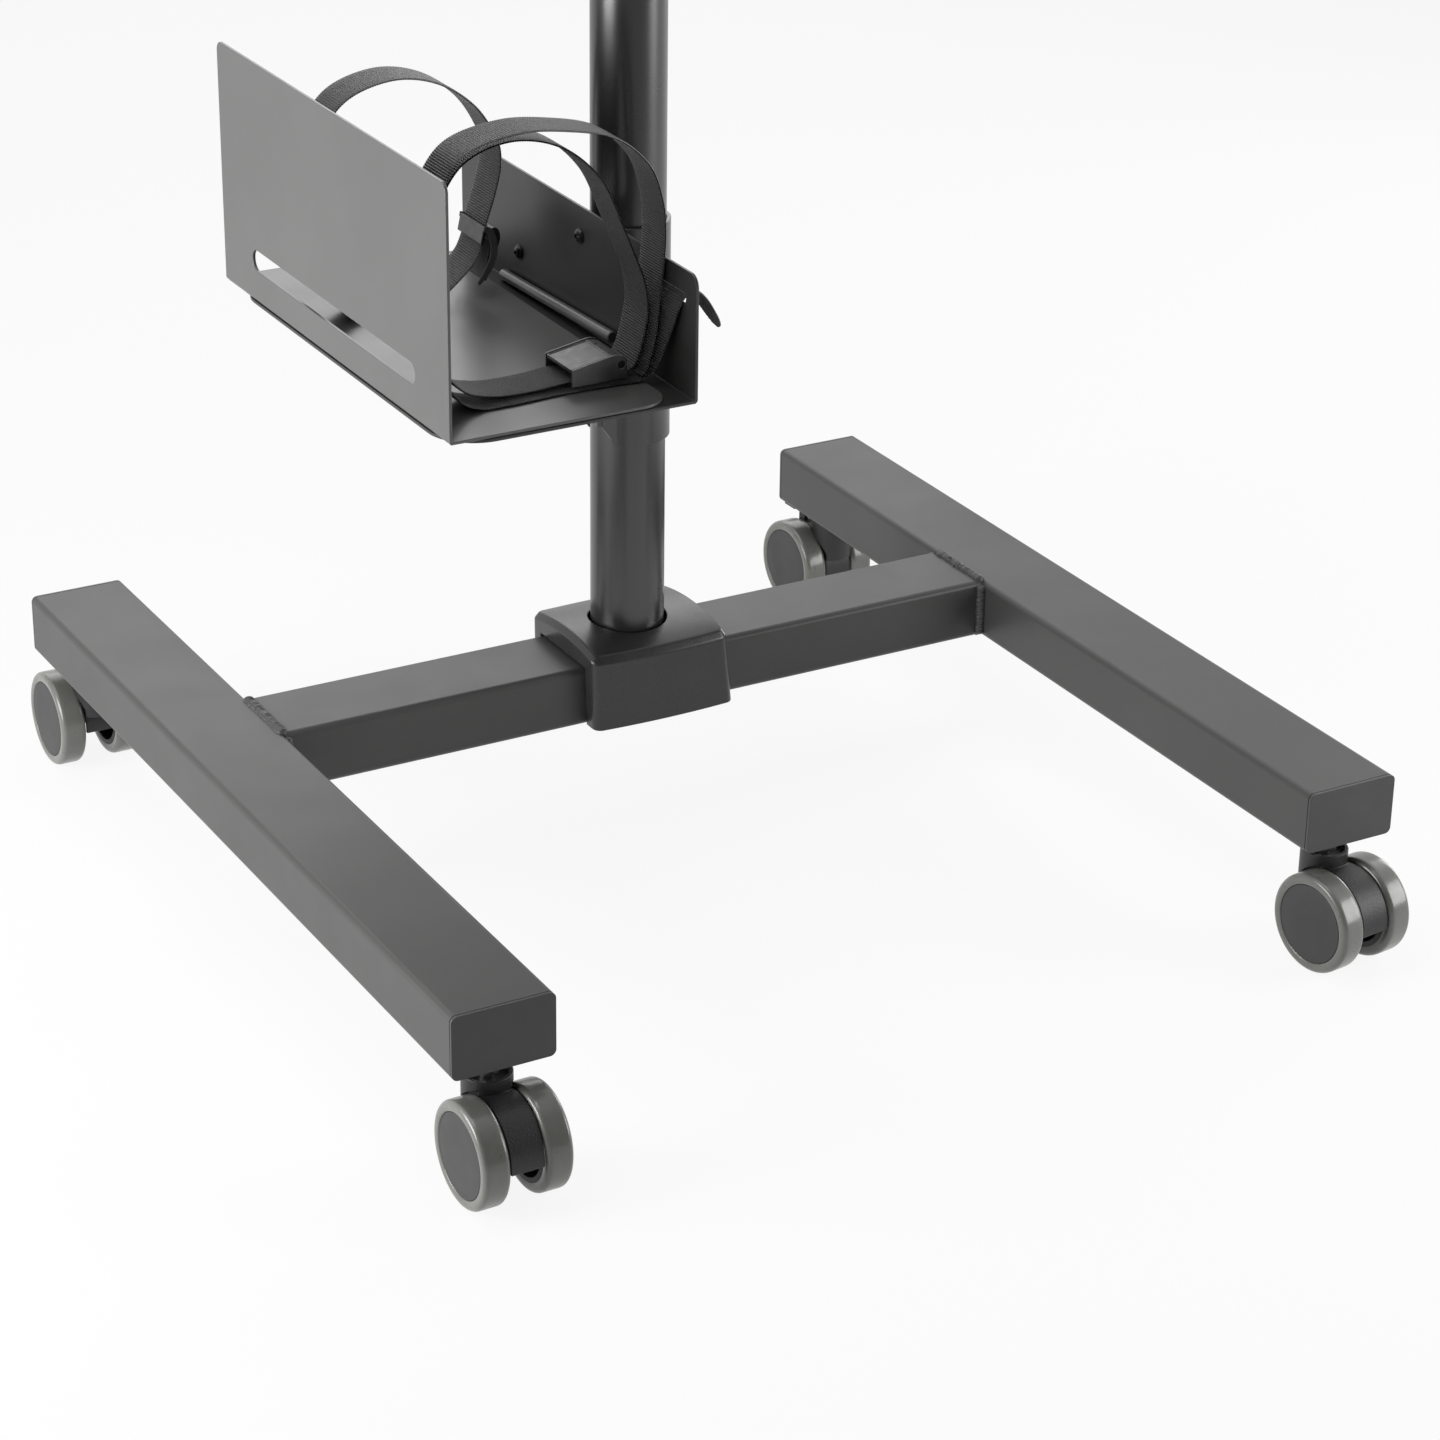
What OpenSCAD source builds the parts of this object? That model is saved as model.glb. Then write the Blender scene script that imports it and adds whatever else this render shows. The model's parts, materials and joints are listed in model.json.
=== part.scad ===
// Mobile monitor stand on four swivelling casters.
// Millimetres. The floor is z = 0, the user stands on the -Y side, and the
// origin is on the floor below the middle of the base.

/* [Base frame] */
// Overall width of the base across both rails
base_w = 800; // [600:10:1000]
// Overall length of a rail with its two end caps
base_len = 800; // [600:10:1000]
// Width of a rail
rail_w = 80; // [60:1:100]
// Height of the rails and of the crossbar
rail_h = 50; // [40:1:70]
// Width of the crossbar
bar_w = 76; // [60:1:100]
// How far the crossbar and the column stand behind the middle of the rails
bar_offset = 97; // [0:1:180]
// Wall of the rails and of the crossbar
tube_wall = 2.5; // [1.5:0.5:4]
// Outside corner radius of the rails and of the crossbar
corner_r = 5; // [3:0.5:8]
// Leg of the weld beads between crossbar and rails
weld_leg = 5; // [3:0.5:8]
// Flange of a rail end cap
cap_flange = 3; // [2:0.5:6]
// How far the plug of an end cap reaches into the rail
cap_plug = 14; // [8:1:25]
// Height of the shallow pyramid on the end cap's face
cap_crown = 1.5; // [0.5:0.5:4]

/* [Casters] */
// Height of a caster from the floor to the underside of the rail
caster_h = 102; // [98:1:120]
// Wheel diameter
wheel_d = 80; // [70:1:84]
// Width of one of the twin wheels
wheel_w = 21; // [16:1:26]
// Diameter of the dark disc on the wheel's face
hub_d = 64; // [52:1:68]
// Rounding of the tread's edges
tread_round = 4; // [2:0.5:6]
// Width of the caster's body between its wheels
fork_w = 26; // [22:1:32]
// Running gap between a wheel and the body
wheel_gap = 1; // [0.5:0.5:2]
// Distance of the axle behind the swivel axis
trail = 24; // [18:1:30]
// Distance of the swivel axis from the rail's end
stem_inset = 28; // [24:1:80]
// Diameter of the collar round the stem
collar_d = 37; // [34:1:42]
// Diameter of the wheel's axle
axle_d = 8; // [6:1:12]
// Thread diameter of the caster's stem
stem_d = 10; // [8:1:12]
// Width of the brake pedal
pedal_w = 24; // [18:1:26]
// Swivel angle of the front left caster
swivel_front_left = 1; // [-10:1:10]
// Swivel angle of the front right caster
swivel_front_right = 7; // [-10:1:10]
// Swivel angle of the rear left caster
swivel_rear_left = 0; // [-10:1:10]
// Swivel angle of the rear right caster
swivel_rear_right = 2; // [-10:1:10]

/* [Column] */
// Outside diameter of the column
column_d = 60; // [50:1:64]
// Wall of the column
column_wall = 2.5; // [1.5:0.5:4]
// Height of the column's top above the floor
column_top = 1500; // [1300:10:1800]
// Thread of the bolt that holds the column's foot
foot_bolt_d = 12; // [8:1:16]
// Width of the plastic cover along the crossbar
cover_w = 116; // [100:1:140]
// Depth of the plastic cover at its lower edge
cover_depth = 114; // [106:1:130]
// How much the cover draws in on each side towards its top
cover_draw = 5; // [2:1:8]
// Height of the cover's crown above the crossbar
cover_rise = 16; // [12:1:24]
// Wall of the cover
cover_wall = 4; // [2:0.5:5]
// Gap between the column and the cover's collar hole
cover_gap = 2.2; // [1:0.1:4]

/* [Computer holder] */
// Height of the holder's underside above the floor
holder_z = 426; // [360:1:700]
// Length of the left side plate from front to back
side_len = 412; // [360:1:480]
// Outside width of the holder with its plates pushed together
holder_w = 205; // [180:1:230]
// Height of the tall left side plate
side_h = 200; // [170:1:260]
// Height of the low right side plate
wall_h = 100; // [90:1:120]
// Sheet thickness of both holder plates
sheet = 2.5; // [2:0.5:4]
// How far the holder's front edge stands before the column's axis
holder_front = 186; // [170:1:200]
// Travel of the left side plate
width_travel = 60; // [30:5:70]
// Length of the long slot in the left side plate
slot_len = 298; // [200:1:320]
// Height of the long slot in the left side plate
slot_h = 17; // [10:1:24]
// Height of the long slot's middle above the holder's underside
slot_up = 38; // [30:1:60]
// Diameter of the strap rod in the holder's corner
rod_d = 9; // [6:0.5:10]

/* [Straps] */
// Width of the webbing
strap_w = 38; // [25:1:38]
// Thickness of the webbing
strap_t = 1.8; // [1.2:0.2:2.2]
// Length of a cam buckle
buckle_len = 50; // [46:1:56]
// Thickness of a buckle's cheek
cheek_t = 3; // [2:0.5:4]

/* [Monitor head] */
// Height of the tilt axis above the floor
head_z = 1380; // [1200:10:1400]
// Height of the collar that slides on the column
head_collar_h = 64; // [50:1:90]
// Wall of the collar
head_collar_wall = 6; // [4:0.5:10]
// Size of the square monitor plate
plate_size = 120; // [116:1:140]
// Thickness of the monitor plate
plate_t = 3; // [2:0.5:5]
// Large hole spacing on the monitor plate
hole_spacing = 100; // [90:1:104]
// Small hole spacing on the monitor plate
hole_spacing_small = 75; // [60:1:80]
// Diameter of the monitor screws' holes
screw_hole_d = 4.6; // [4.2:0.1:5.4]
// Diameter of the tilt bolt
tilt_bolt_d = 10; // [8:1:12]

/* [Hidden] */
$fn = 64;

// Clearances between pieces
slip = 0.05;
seat = 0.3;
loose = 0.1;
cut = 1;

// Places that follow from the sizes above
rail_x = (base_w - rail_w) / 2;
rail_bottom = caster_h;
rail_top = rail_bottom + rail_h;
rail_mid = rail_bottom + rail_h / 2;
tube_len = base_len - 2 * cap_flange;
bar_len = base_w - 2 * rail_w;
stem_y = base_len / 2 - stem_inset;
wheel_r = wheel_d / 2;
hub_r = hub_d / 2;
column_r = column_d / 2;
column_foot = rail_bottom + tube_wall;

// Rounded rectangle about the origin
module rounded_rect(w, h, r) {
  square([w - 2 * r, h], center = true);
  square([w, h - 2 * r], center = true);
  for (x = [-1, 1], y = [-1, 1])
    translate([x * (w / 2 - r), y * (h / 2 - r)]) circle(r);
}

// Cross-section of a rectangular tube
module tube_section(w, h, wall, r) {
  difference() {
    rounded_rect(w, h, r);
    rounded_rect(w - 2 * wall, h - 2 * wall, r - wall / 2);
  }
}

// Slot with round ends, along the first axis
module slot_shape(length, width) {
  square([length - width, width], center = true);
  for (side = [-1, 1])
    translate([side * (length - width) / 2, 0]) circle(width / 2);
}

// Extrudes an (x, z) outline along Y, about y = 0
module along_y(length) {
  translate([0, length / 2, 0]) rotate([90, 0, 0]) linear_extrude(length) children();
}

// Extrudes a (y, z) outline along X, about x = 0
module along_x(length) {
  translate([-length / 2, 0, 0]) rotate([90, 0, 90]) linear_extrude(length) children();
}

module hex_prism(across, height) {
  cylinder(d = across / cos(30), h = height, $fn = 6);
}

// Base frame

module rail(side) {
  color([0.26, 0.26, 0.27])
    translate([side * rail_x, 0, 0])
      difference() {
        translate([0, 0, rail_mid]) along_y(tube_len) tube_section(rail_w, rail_h, tube_wall, corner_r);
        for (end = [-1, 1])
          translate([0, end * stem_y, rail_bottom - cut]) cylinder(r = socket_r + loose, h = tube_wall + 2 * cut);
      }
}

module left_rail() { rail(-1); }

module right_rail() { rail(1); }

cap_round = corner_r;
crown_flat = 0.01;

module rail_end_cap() {
  plug_w = rail_w - 2 * tube_wall - 2 * seat;
  plug_h = rail_h - 2 * tube_wall - 2 * seat;
  groove = 0.5;
  translate([0, (cap_flange + groove) / 2, 0]) along_y(cap_flange - groove) rounded_rect(rail_w, rail_h, cap_round);
  translate([0, -cap_plug / 2 + groove, 0]) along_y(cap_plug)
    difference() {
      rounded_rect(plug_w, plug_h, cap_round - tube_wall / 2);
      rounded_rect(plug_w - 2 * tube_wall, plug_h - 2 * tube_wall, cap_round - tube_wall);
    }
  hull() {
    translate([0, cap_flange - groove, 0]) along_y(groove) rounded_rect(rail_w - 2, rail_h - 2, cap_round, $fn = 24);
    translate([0, cap_flange + cap_crown - crown_flat, 0]) cube([crown_flat, crown_flat, crown_flat], center = true);
  }
}

module rail_end_caps() {
  color([0.23, 0.23, 0.24])
    for (side = [-1, 1], end = [-1, 1])
      translate([side * rail_x, end * (base_len / 2 - cap_flange), rail_mid])
        mirror([0, end < 0 ? 1 : 0, 0]) rail_end_cap();
}

module crossbar() {
  color([0.25, 0.25, 0.26])
    difference() {
      translate([0, bar_offset, rail_mid]) along_x(bar_len) tube_section(bar_w, rail_h, tube_wall, corner_r);
      translate([0, bar_offset, rail_mid]) cylinder(r = column_r + loose, h = rail_h);
      translate([0, bar_offset, rail_bottom - cut]) cylinder(d = foot_bolt_d + 1, h = tube_wall + 2 * cut);
    }
}

// Weld beads down both sides of the crossbar and across its top and bottom ends
module weld_bead(length) {
  rotate([90, 0, 0]) linear_extrude(length, center = true)
    difference() {
      square(weld_leg);
      translate([weld_leg * 1.7, weld_leg * 1.7]) circle(weld_leg * 1.4);
    }
}

// Cross-section of the bead in the groove over the joint, beside the right rail
module groove_bead() {
  bead_r = corner_r + 0.5;
  difference() {
    translate([bar_len / 2 + 0.5, rail_h / 2 - bead_r + 1.5]) circle(bead_r, $fn = 32);
    translate([rail_x, 0]) rounded_rect(rail_w, rail_h, corner_r);
    translate([0, -rail_h / 2]) square([bar_len / 2, rail_h]);
  }
}

module weld_beads() {
  groove_len = bar_w - 2 * corner_r;
  color([0.24, 0.24, 0.25]) {
    for (side = [-1, 1], face = [-1, 1])
      translate([side * bar_len / 2, bar_offset + face * bar_w / 2, rail_mid])
        mirror([side > 0 ? 1 : 0, 0, 0]) mirror([0, face > 0 ? 1 : 0, 0])
          rotate([90, 0, 0]) weld_bead(rail_h - 2 * corner_r);
    for (side = [0, 1], up = [0, 1])
      translate([0, bar_offset, rail_mid]) mirror([side, 0, 0]) mirror([0, 0, up]) along_y(groove_len) groove_bead();
  }
}

socket_r = 11;
socket_len = 38;

module caster_sockets() {
  color([0.6, 0.6, 0.6])
    for (side = [-1, 1], end = [-1, 1])
      translate([side * rail_x, end * stem_y, rail_bottom])
        difference() {
          cylinder(r = socket_r, h = socket_len);
          translate([0, 0, -cut]) cylinder(r = stem_d / 2 + loose, h = socket_len + 2 * cut);
        }
}

// Casters: local x runs along the axle, local -y is the way the wheels trail

pivot_r = stem_d / 2 + 1;
collar_top = caster_h - 8.5;
pivot_drop = 36;
pivot_low = caster_h - pivot_drop;
thread_len = 30;
nut_h = 6;
nut_across = 17;

module caster_stem() {
  translate([0, 0, pivot_low]) cylinder(r = pivot_r, h = rail_bottom - nut_h - pivot_low);
  translate([0, 0, rail_bottom - nut_h]) hex_prism(nut_across, nut_h - loose);
  translate([0, 0, rail_bottom - loose]) cylinder(r = stem_d / 2, h = thread_len);
}

module caster_stems() {
  color([0.8, 0.8, 0.8])
    for (place = caster_places)
      translate([place[0], place[1], 0]) caster_stem();
}

caster_places = [
  [-rail_x, -stem_y, swivel_front_left],
  [rail_x, -stem_y, swivel_front_right],
  [-rail_x, stem_y, 180 + swivel_rear_left],
  [rail_x, stem_y, 180 + swivel_rear_right]
];

module at_caster(index) {
  place = caster_places[index];
  translate([place[0], place[1], 0]) rotate([0, 0, place[2]]) children();
}

// Turns a piece whose own axis is Z so that it lies along the axle
module on_axle() {
  translate([0, -trail, wheel_r]) rotate([0, 90, 0]) children();
}

fender_r = wheel_r - 3;
fender_wall = 3;
web_t = 5;
axle_boss_r = 10;
pedal_pivot_y = trail + 9;
pedal_pivot_z = wheel_r + fender_r + 5;
pedal_pivot_r = 2;
pedal_ear_r = 5;
pedal_ear_t = 4;
pedal_neck_w = pedal_w - 2 * pedal_ear_t - 2 * loose - 1;

// The half above the axle of a disc in the wheel's plane
module upper_half(radius, width) {
  intersection() {
    on_axle() translate([0, 0, -width / 2]) cylinder(r = radius, h = width, $fn = 96);
    translate([-width / 2 - cut, -trail - radius - cut, wheel_r - 3]) cube([width + 2 * cut, 2 * radius + 2 * cut, radius + 10]);
  }
}

module fork(braked) {
  color([0.12, 0.12, 0.12])
    difference() {
      union() {
        difference() {
          upper_half(fender_r, fork_w);
          for (side = [-1, 1])
            translate([side * (web_t + fork_w) / 2, 0, 0]) upper_half(fender_r - fender_wall, fork_w);
        }
        on_axle() translate([0, 0, -fork_w / 2]) cylinder(r = axle_boss_r, h = fork_w);
        difference() {
          translate([0, 0, pivot_low - 14]) cylinder(d = collar_d, h = collar_top - pivot_low + 14);
          for (side = [-1, 1])
            translate([side * (fork_w / 2 + collar_d), 0, 0]) on_axle() translate([0, 0, -collar_d]) cylinder(r = wheel_r + wheel_gap, h = 2 * collar_d, $fn = 96);
          translate([0, 0, collar_top - 4]) cylinder(d = collar_d - 6, h = 4 + cut);
        }
        if (braked) pedal_ears();
      }
      on_axle() translate([0, 0, -fork_w]) cylinder(d = axle_d + 2 * slip, h = 2 * fork_w);
      translate([0, 0, pivot_low - 1]) cylinder(r = pivot_r + slip, h = rail_bottom - pivot_low);
      on_axle() for (side = [-1, 1])
        translate([0, 0, side * (fork_w / 2 + collar_d)]) cylinder(r = wheel_r + wheel_gap, h = 2 * collar_d, center = true, $fn = 96);
    }
}

module pedal_ears() {
  for (side = [-1, 1])
    translate([side * (pedal_neck_w / 2 + loose + pedal_ear_t / 2) - pedal_ear_t / 2, -pedal_pivot_y, 0])
      difference() {
        union() {
          translate([0, 0, pedal_pivot_z]) rotate([0, 90, 0]) cylinder(r = pedal_ear_r, h = pedal_ear_t);
          translate([0, -pedal_ear_r, pedal_pivot_z - 14]) cube([pedal_ear_t, 2 * pedal_ear_r, 14]);
        }
        translate([-cut, 0, pedal_pivot_z]) rotate([0, 90, 0]) cylinder(r = pedal_pivot_r + slip, h = pedal_ear_t + 2 * cut);
      }
}

module brake_pedal() {
  paddle_near = 12;
  paddle_len = 17;
  paddle_t = 4;
  rib_step = 4;
  color([0.13, 0.13, 0.13])
    translate([0, -pedal_pivot_y, pedal_pivot_z]) {
      translate([-pedal_neck_w / 2, 0, 0]) rotate([0, 90, 0]) cylinder(r = pedal_ear_r - 1, h = pedal_neck_w);
      translate([-pedal_neck_w / 2 - pedal_ear_t, 0, 0]) rotate([0, 90, 0]) cylinder(r = pedal_pivot_r, h = pedal_neck_w + 2 * pedal_ear_t);
      translate([-pedal_neck_w / 2, -paddle_near - 1, 0]) cube([pedal_neck_w, paddle_near + 1, paddle_t]);
      translate([-pedal_w / 2, -paddle_near - paddle_len, 0]) cube([pedal_w, paddle_len, paddle_t]);
      for (rib = [0:2])
        translate([-pedal_w / 2 + 2, -paddle_near - 5 - rib * rib_step, paddle_t - 0.2])
          cube([pedal_w - 4, 1.6, 1.4]);
    }
}

hub_w = wheel_w - 0.5;
hub_face_t = 3;
axle_reach = fork_w / 2 + wheel_gap + hub_w - hub_face_t - 1;

module axle() {
  color([0.75, 0.75, 0.75])
    on_axle() translate([0, 0, -axle_reach]) cylinder(d = axle_d, h = 2 * axle_reach);
}

// One of the twin wheels: side -1 or 1 along the axle
module at_wheel(side) {
  on_axle() mirror([0, 0, side < 0 ? 1 : 0]) translate([0, 0, fork_w / 2 + wheel_gap]) children();
}

module hub(side) {
  boss_r = 9;
  rim_t = 4;
  color([0.24, 0.24, 0.25])
    at_wheel(side)
      difference() {
        cylinder(r = hub_r - slip, h = hub_w, $fn = 96);
        difference() {
          translate([0, 0, -cut]) cylinder(r = hub_r - rim_t, h = hub_w - hub_face_t + cut);
          cylinder(r = boss_r, h = hub_w);
        }
        translate([0, 0, -cut]) cylinder(d = axle_d + 2 * slip, h = hub_w - hub_face_t + cut);
      }
}

module tread(side) {
  color([0.45, 0.44, 0.42])
    at_wheel(side)
      rotate_extrude($fn = 96)
        difference() {
          translate([0, wheel_w / 2]) rounded_rect(wheel_d, wheel_w, tread_round);
          translate([-wheel_r - cut, -cut]) square([wheel_r + hub_r + cut, wheel_w + 2 * cut]);
        }
}

module front_left_fork() { at_caster(0) fork(false); }

module front_left_axle() { at_caster(0) axle(); }

module front_left_outer_hub() { at_caster(0) hub(-1); }

module front_left_outer_tread() { at_caster(0) tread(-1); }

module front_left_inner_hub() { at_caster(0) hub(1); }

module front_left_inner_tread() { at_caster(0) tread(1); }

module front_right_fork() { at_caster(1) fork(false); }

module front_right_axle() { at_caster(1) axle(); }

module front_right_outer_hub() { at_caster(1) hub(1); }

module front_right_outer_tread() { at_caster(1) tread(1); }

module front_right_inner_hub() { at_caster(1) hub(-1); }

module front_right_inner_tread() { at_caster(1) tread(-1); }

module rear_left_fork() { at_caster(2) fork(true); }

module rear_left_axle() { at_caster(2) axle(); }

module rear_left_outer_hub() { at_caster(2) hub(1); }

module rear_left_outer_tread() { at_caster(2) tread(1); }

module rear_left_inner_hub() { at_caster(2) hub(-1); }

module rear_left_inner_tread() { at_caster(2) tread(-1); }

module rear_left_brake_pedal() { at_caster(2) brake_pedal(); }

module rear_right_fork() { at_caster(3) fork(true); }

module rear_right_axle() { at_caster(3) axle(); }

module rear_right_outer_hub() { at_caster(3) hub(-1); }

module rear_right_outer_tread() { at_caster(3) tread(-1); }

module rear_right_inner_hub() { at_caster(3) hub(1); }

module rear_right_inner_tread() { at_caster(3) tread(1); }

module rear_right_brake_pedal() { at_caster(3) brake_pedal(); }

// Column

foot_plug_h = 25;

module at_column(z) {
  translate([0, bar_offset, z]) children();
}

module column_tube() {
  color([0.17, 0.17, 0.17])
    at_column(column_foot)
      difference() {
        cylinder(r = column_r, h = column_top - column_foot, $fn = 128);
        translate([0, 0, -cut]) cylinder(r = column_r - column_wall, h = column_top - column_foot + 2 * cut, $fn = 128);
      }
}

module column_foot_plug() {
  color([0.6, 0.6, 0.6])
    at_column(column_foot)
      difference() {
        cylinder(r = column_r - column_wall - loose, h = foot_plug_h);
        translate([0, 0, -cut]) cylinder(d = foot_bolt_d + 2 * loose, h = foot_plug_h + 2 * cut);
      }
}

module column_foot_bolt() {
  washer_t = 2;
  head_h = 7;
  color([0.7, 0.7, 0.7])
    at_column(rail_bottom - loose) {
      translate([0, 0, -washer_t]) cylinder(d = 2 * foot_bolt_d, h = washer_t);
      translate([0, 0, -washer_t - head_h]) hex_prism(foot_bolt_d * 1.5, head_h);
      translate([0, 0, -washer_t]) cylinder(d = foot_bolt_d, h = tube_wall + foot_plug_h);
    }
}

cover_bottom = rail_bottom;
cover_top = rail_top + cover_rise;
cover_edge = 7;
cover_round = 9;
arch_r = 220;

// Side outline of the cover, as deep as given at its foot, below an arched top
module cover_outline(depth, top) {
  intersection() {
    polygon([
      [-depth / 2, cover_bottom - cut], [depth / 2, cover_bottom - cut],
      [depth / 2 - cover_draw, top], [-depth / 2 + cover_draw, top]
    ]);
    translate([0, top - arch_r]) circle(arch_r, $fn = 256);
  }
}

module column_cover() {
  color([0.14, 0.14, 0.14])
    difference() {
      at_column(0)
        difference() {
          intersection() {
            along_x(cover_w) cover_outline(cover_depth, cover_top);
            translate([0, 0, cover_bottom]) linear_extrude(cover_rise + rail_h + cut)
              rounded_rect(cover_w, cover_depth, cover_round);
          }
          difference() {
            along_x(cover_w + 2 * cut) cover_outline(cover_depth - 2 * cover_wall, cover_top - cover_wall);
            for (side = [-1, 1])
              translate([side * cover_w / 4 - 1, -cover_depth / 2, cover_bottom]) cube([2, cover_depth, rail_h + cover_rise]);
          }
          translate([0, 0, rail_bottom]) cylinder(r = column_r + cover_gap, h = rail_h * 2, $fn = 96);
        }
      translate([0, bar_offset, cover_bottom - cut])
        translate([-cover_w, -bar_w / 2 - seat, 0]) cube([2 * cover_w, bar_w + 2 * seat, rail_h + cut + seat]);
    }
}

module column_top_cap() {
  plug = 15;
  color([0.13, 0.13, 0.13])
    at_column(column_top) {
      cylinder(r = column_r, h = 3);
      translate([0, 0, -plug]) cylinder(r = column_r - column_wall - loose, h = plug + 1);
    }
}

// Holder: x is measured from the column's axis, y from it too

wall_x = -column_r - 10;
left_x = wall_x - holder_w;
plate_far = holder_front - side_len + 17;
plate_len = side_len - 17;
floor_top = 2 * sheet + seat;
bend_r = 3;
lower_corner = 38;
upper_corner = 24;

module at_holder() {
  translate([0, bar_offset, holder_z]) children();
}

// Sheet bent into an L: the upright stands at x = 0, the foot runs towards +X
module bent_sheet(foot, upright) {
  difference() {
    union() {
      translate([bend_r, 0]) square([foot - bend_r, sheet]);
      translate([0, bend_r]) square([sheet, upright - bend_r]);
      translate([bend_r, bend_r]) circle(bend_r, $fn = 48);
      translate([bend_r - 1, 0]) square([1 + sheet, sheet]);
    }
    translate([sheet, sheet]) square([foot, upright]);
  }
}

// Rounds the two front and back corners of an upright of the given height
module upright_mask(length, height, r) {
  translate([length / 2, height / 2]) rounded_rect(length, height, r);
  square([length, height / 2]);
}

module holder_left_plate() {
  foot = holder_w - 20;
  color([0.2, 0.2, 0.2])
    at_holder()
      translate([left_x, -holder_front + 1, sheet + seat])
        difference() {
          intersection() {
            translate([0, side_len / 2, 0]) along_y(side_len) bent_sheet(foot, side_h - sheet - seat);
            union() {
              translate([-cut, 0, 0]) rotate([90, 0, 90]) linear_extrude(sheet + 2 * cut)
                upright_mask(side_len, side_h - sheet - seat, 8);
              linear_extrude(sheet) {
                translate([foot / 2, side_len / 2]) rounded_rect(foot, side_len, upper_corner);
                square([foot / 2, side_len]);
              }
            }
          }
          translate([-cut, side_len / 2, slot_up - sheet - seat]) rotate([90, 0, 90])
            linear_extrude(sheet + 2 * cut) slot_shape(slot_len, slot_h);
          for (y = screw_ys)
            translate([screw_x - left_x, y + holder_front - 1, -cut]) cylinder(d = screw_d + 2 * loose, h = sheet + 2 * cut);
        }
}

screw_d = 6;
screw_x = -100;
screw_ys = [-60, 130];
strap_slot_y = -148;
strap_slot_z = 77.5;
strap_slot_h = 8.6;

module holder_right_plate() {
  foot = holder_w;
  color([0.2, 0.2, 0.2])
    at_holder()
      difference() {
        translate([wall_x, -holder_front, 0]) mirror([1, 0, 0])
          intersection() {
            translate([0, plate_len / 2, 0]) along_y(plate_len) bent_sheet(foot, wall_h);
            union() {
              translate([-cut, 0, 0]) rotate([90, 0, 90]) linear_extrude(sheet + 2 * cut)
                upright_mask(plate_len, wall_h, 10);
              linear_extrude(sheet) {
                translate([foot / 2, plate_len / 2]) rounded_rect(foot, plate_len, lower_corner);
                square([foot / 2, plate_len]);
                translate([0, plate_len / 2]) square([foot - 10, plate_len / 2]);
              }
            }
          }
        for (y = screw_ys)
          translate([screw_x - width_travel / 2, y, -cut]) linear_extrude(sheet + 2 * cut)
            slot_shape(width_travel + screw_d + 1, screw_d + 1);
        for (place = wall_screw_places)
          translate([wall_x - sheet - cut, place[0], place[1]]) rotate([0, 90, 0])
            cylinder(d = wall_screw_d + 2 * loose, h = sheet + 2 * cut);
        translate([wall_x - sheet - cut, strap_slot_y, strap_slot_z]) rotate([90, 0, 90])
          linear_extrude(sheet + 2 * cut) slot_shape(strap_w + 6, strap_slot_h);
      }
}

module strap_rod() {
  rod_len = 170;
  color([0.3, 0.3, 0.31])
    at_holder()
      translate([wall_x - sheet - rod_d / 2 - loose, 40, sheet + rod_d / 2 + loose])
        rotate([90, 0, 0]) cylinder(d = rod_d, h = rod_len, center = true);
}

module width_screws() {
  color([0.1, 0.1, 0.1])
    at_holder()
      for (y = screw_ys)
        translate([screw_x, y, 0]) {
          translate([0, 0, -loose - 1.6]) cylinder(d = 3 * screw_d, h = 1.6);
          translate([0, 0, -loose - 5.6]) hex_prism(10, 5);
          translate([0, 0, -loose - 1]) cylinder(d = screw_d, h = floor_top + loose + 1);
        }
}

wall_screw_d = 6;
wall_screw_places = [[-105, 31], [105, 31], [0, 76]];
clamp_plate_t = 4;
clamp_t = 3.4;
clamp_low = -94;
clamp_high = 86;
clamp_leg_rise = 19;
clamp_edge_angle = 47;
ear_low = 6;
ear_high = 84;
clamp_ear = 25;
clamp_screw_zs = [ear_low + 12, ear_high - 12];
clamp_leg_y = (column_r + clamp_t) * sin(clamp_edge_angle);
clamp_screw_y = clamp_leg_y + clamp_ear / 2;
clamp_face = wall_x + clamp_plate_t;

wing = 118;
wing_low = 18;
wing_high = 44;

module clamp_plate() {
  half = clamp_leg_y + clamp_ear;
  color([0.3, 0.3, 0.3])
    at_holder()
      translate([wall_x, 0, 0])
        difference() {
          rotate([90, 0, 90]) linear_extrude(clamp_plate_t)
            polygon([
              [-clamp_leg_y, clamp_low + clamp_leg_rise], [clamp_leg_y, clamp_low + clamp_leg_rise],
              [clamp_leg_y, 2], [half, 2], [half, wing_low], [wing, wing_low], [wing, wing_high],
              [half, clamp_high], [-half, clamp_high], [-wing, wing_high], [-wing, wing_low],
              [-half, wing_low], [-half, 2], [-clamp_leg_y, 2]
            ]);
          for (place = wall_screw_places)
            translate([-cut, place[0], place[1]]) rotate([0, 90, 0])
              cylinder(d = wall_screw_d + 2 * loose, h = clamp_plate_t + 2 * cut);
          for (z = clamp_screw_zs, side = [-1, 1])
            translate([-cut, side * clamp_screw_y, z]) rotate([0, 90, 0])
              cylinder(d = wall_screw_d + 2 * loose, h = clamp_plate_t + 2 * cut);
        }
}

module clamp_saddle() {
  saddle_half = 17;
  color([0.35, 0.35, 0.36])
    at_holder()
      translate([0, 0, clamp_low + clamp_leg_rise + 5])
        linear_extrude(clamp_high - clamp_low - clamp_leg_rise - 10)
          difference() {
            translate([clamp_face, -saddle_half]) square([column_r, 2 * saddle_half]);
            circle(column_r + slip, $fn = 128);
            translate([-column_r * 0.6, -column_r]) square([column_r, 2 * column_r]);
          }
}

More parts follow.
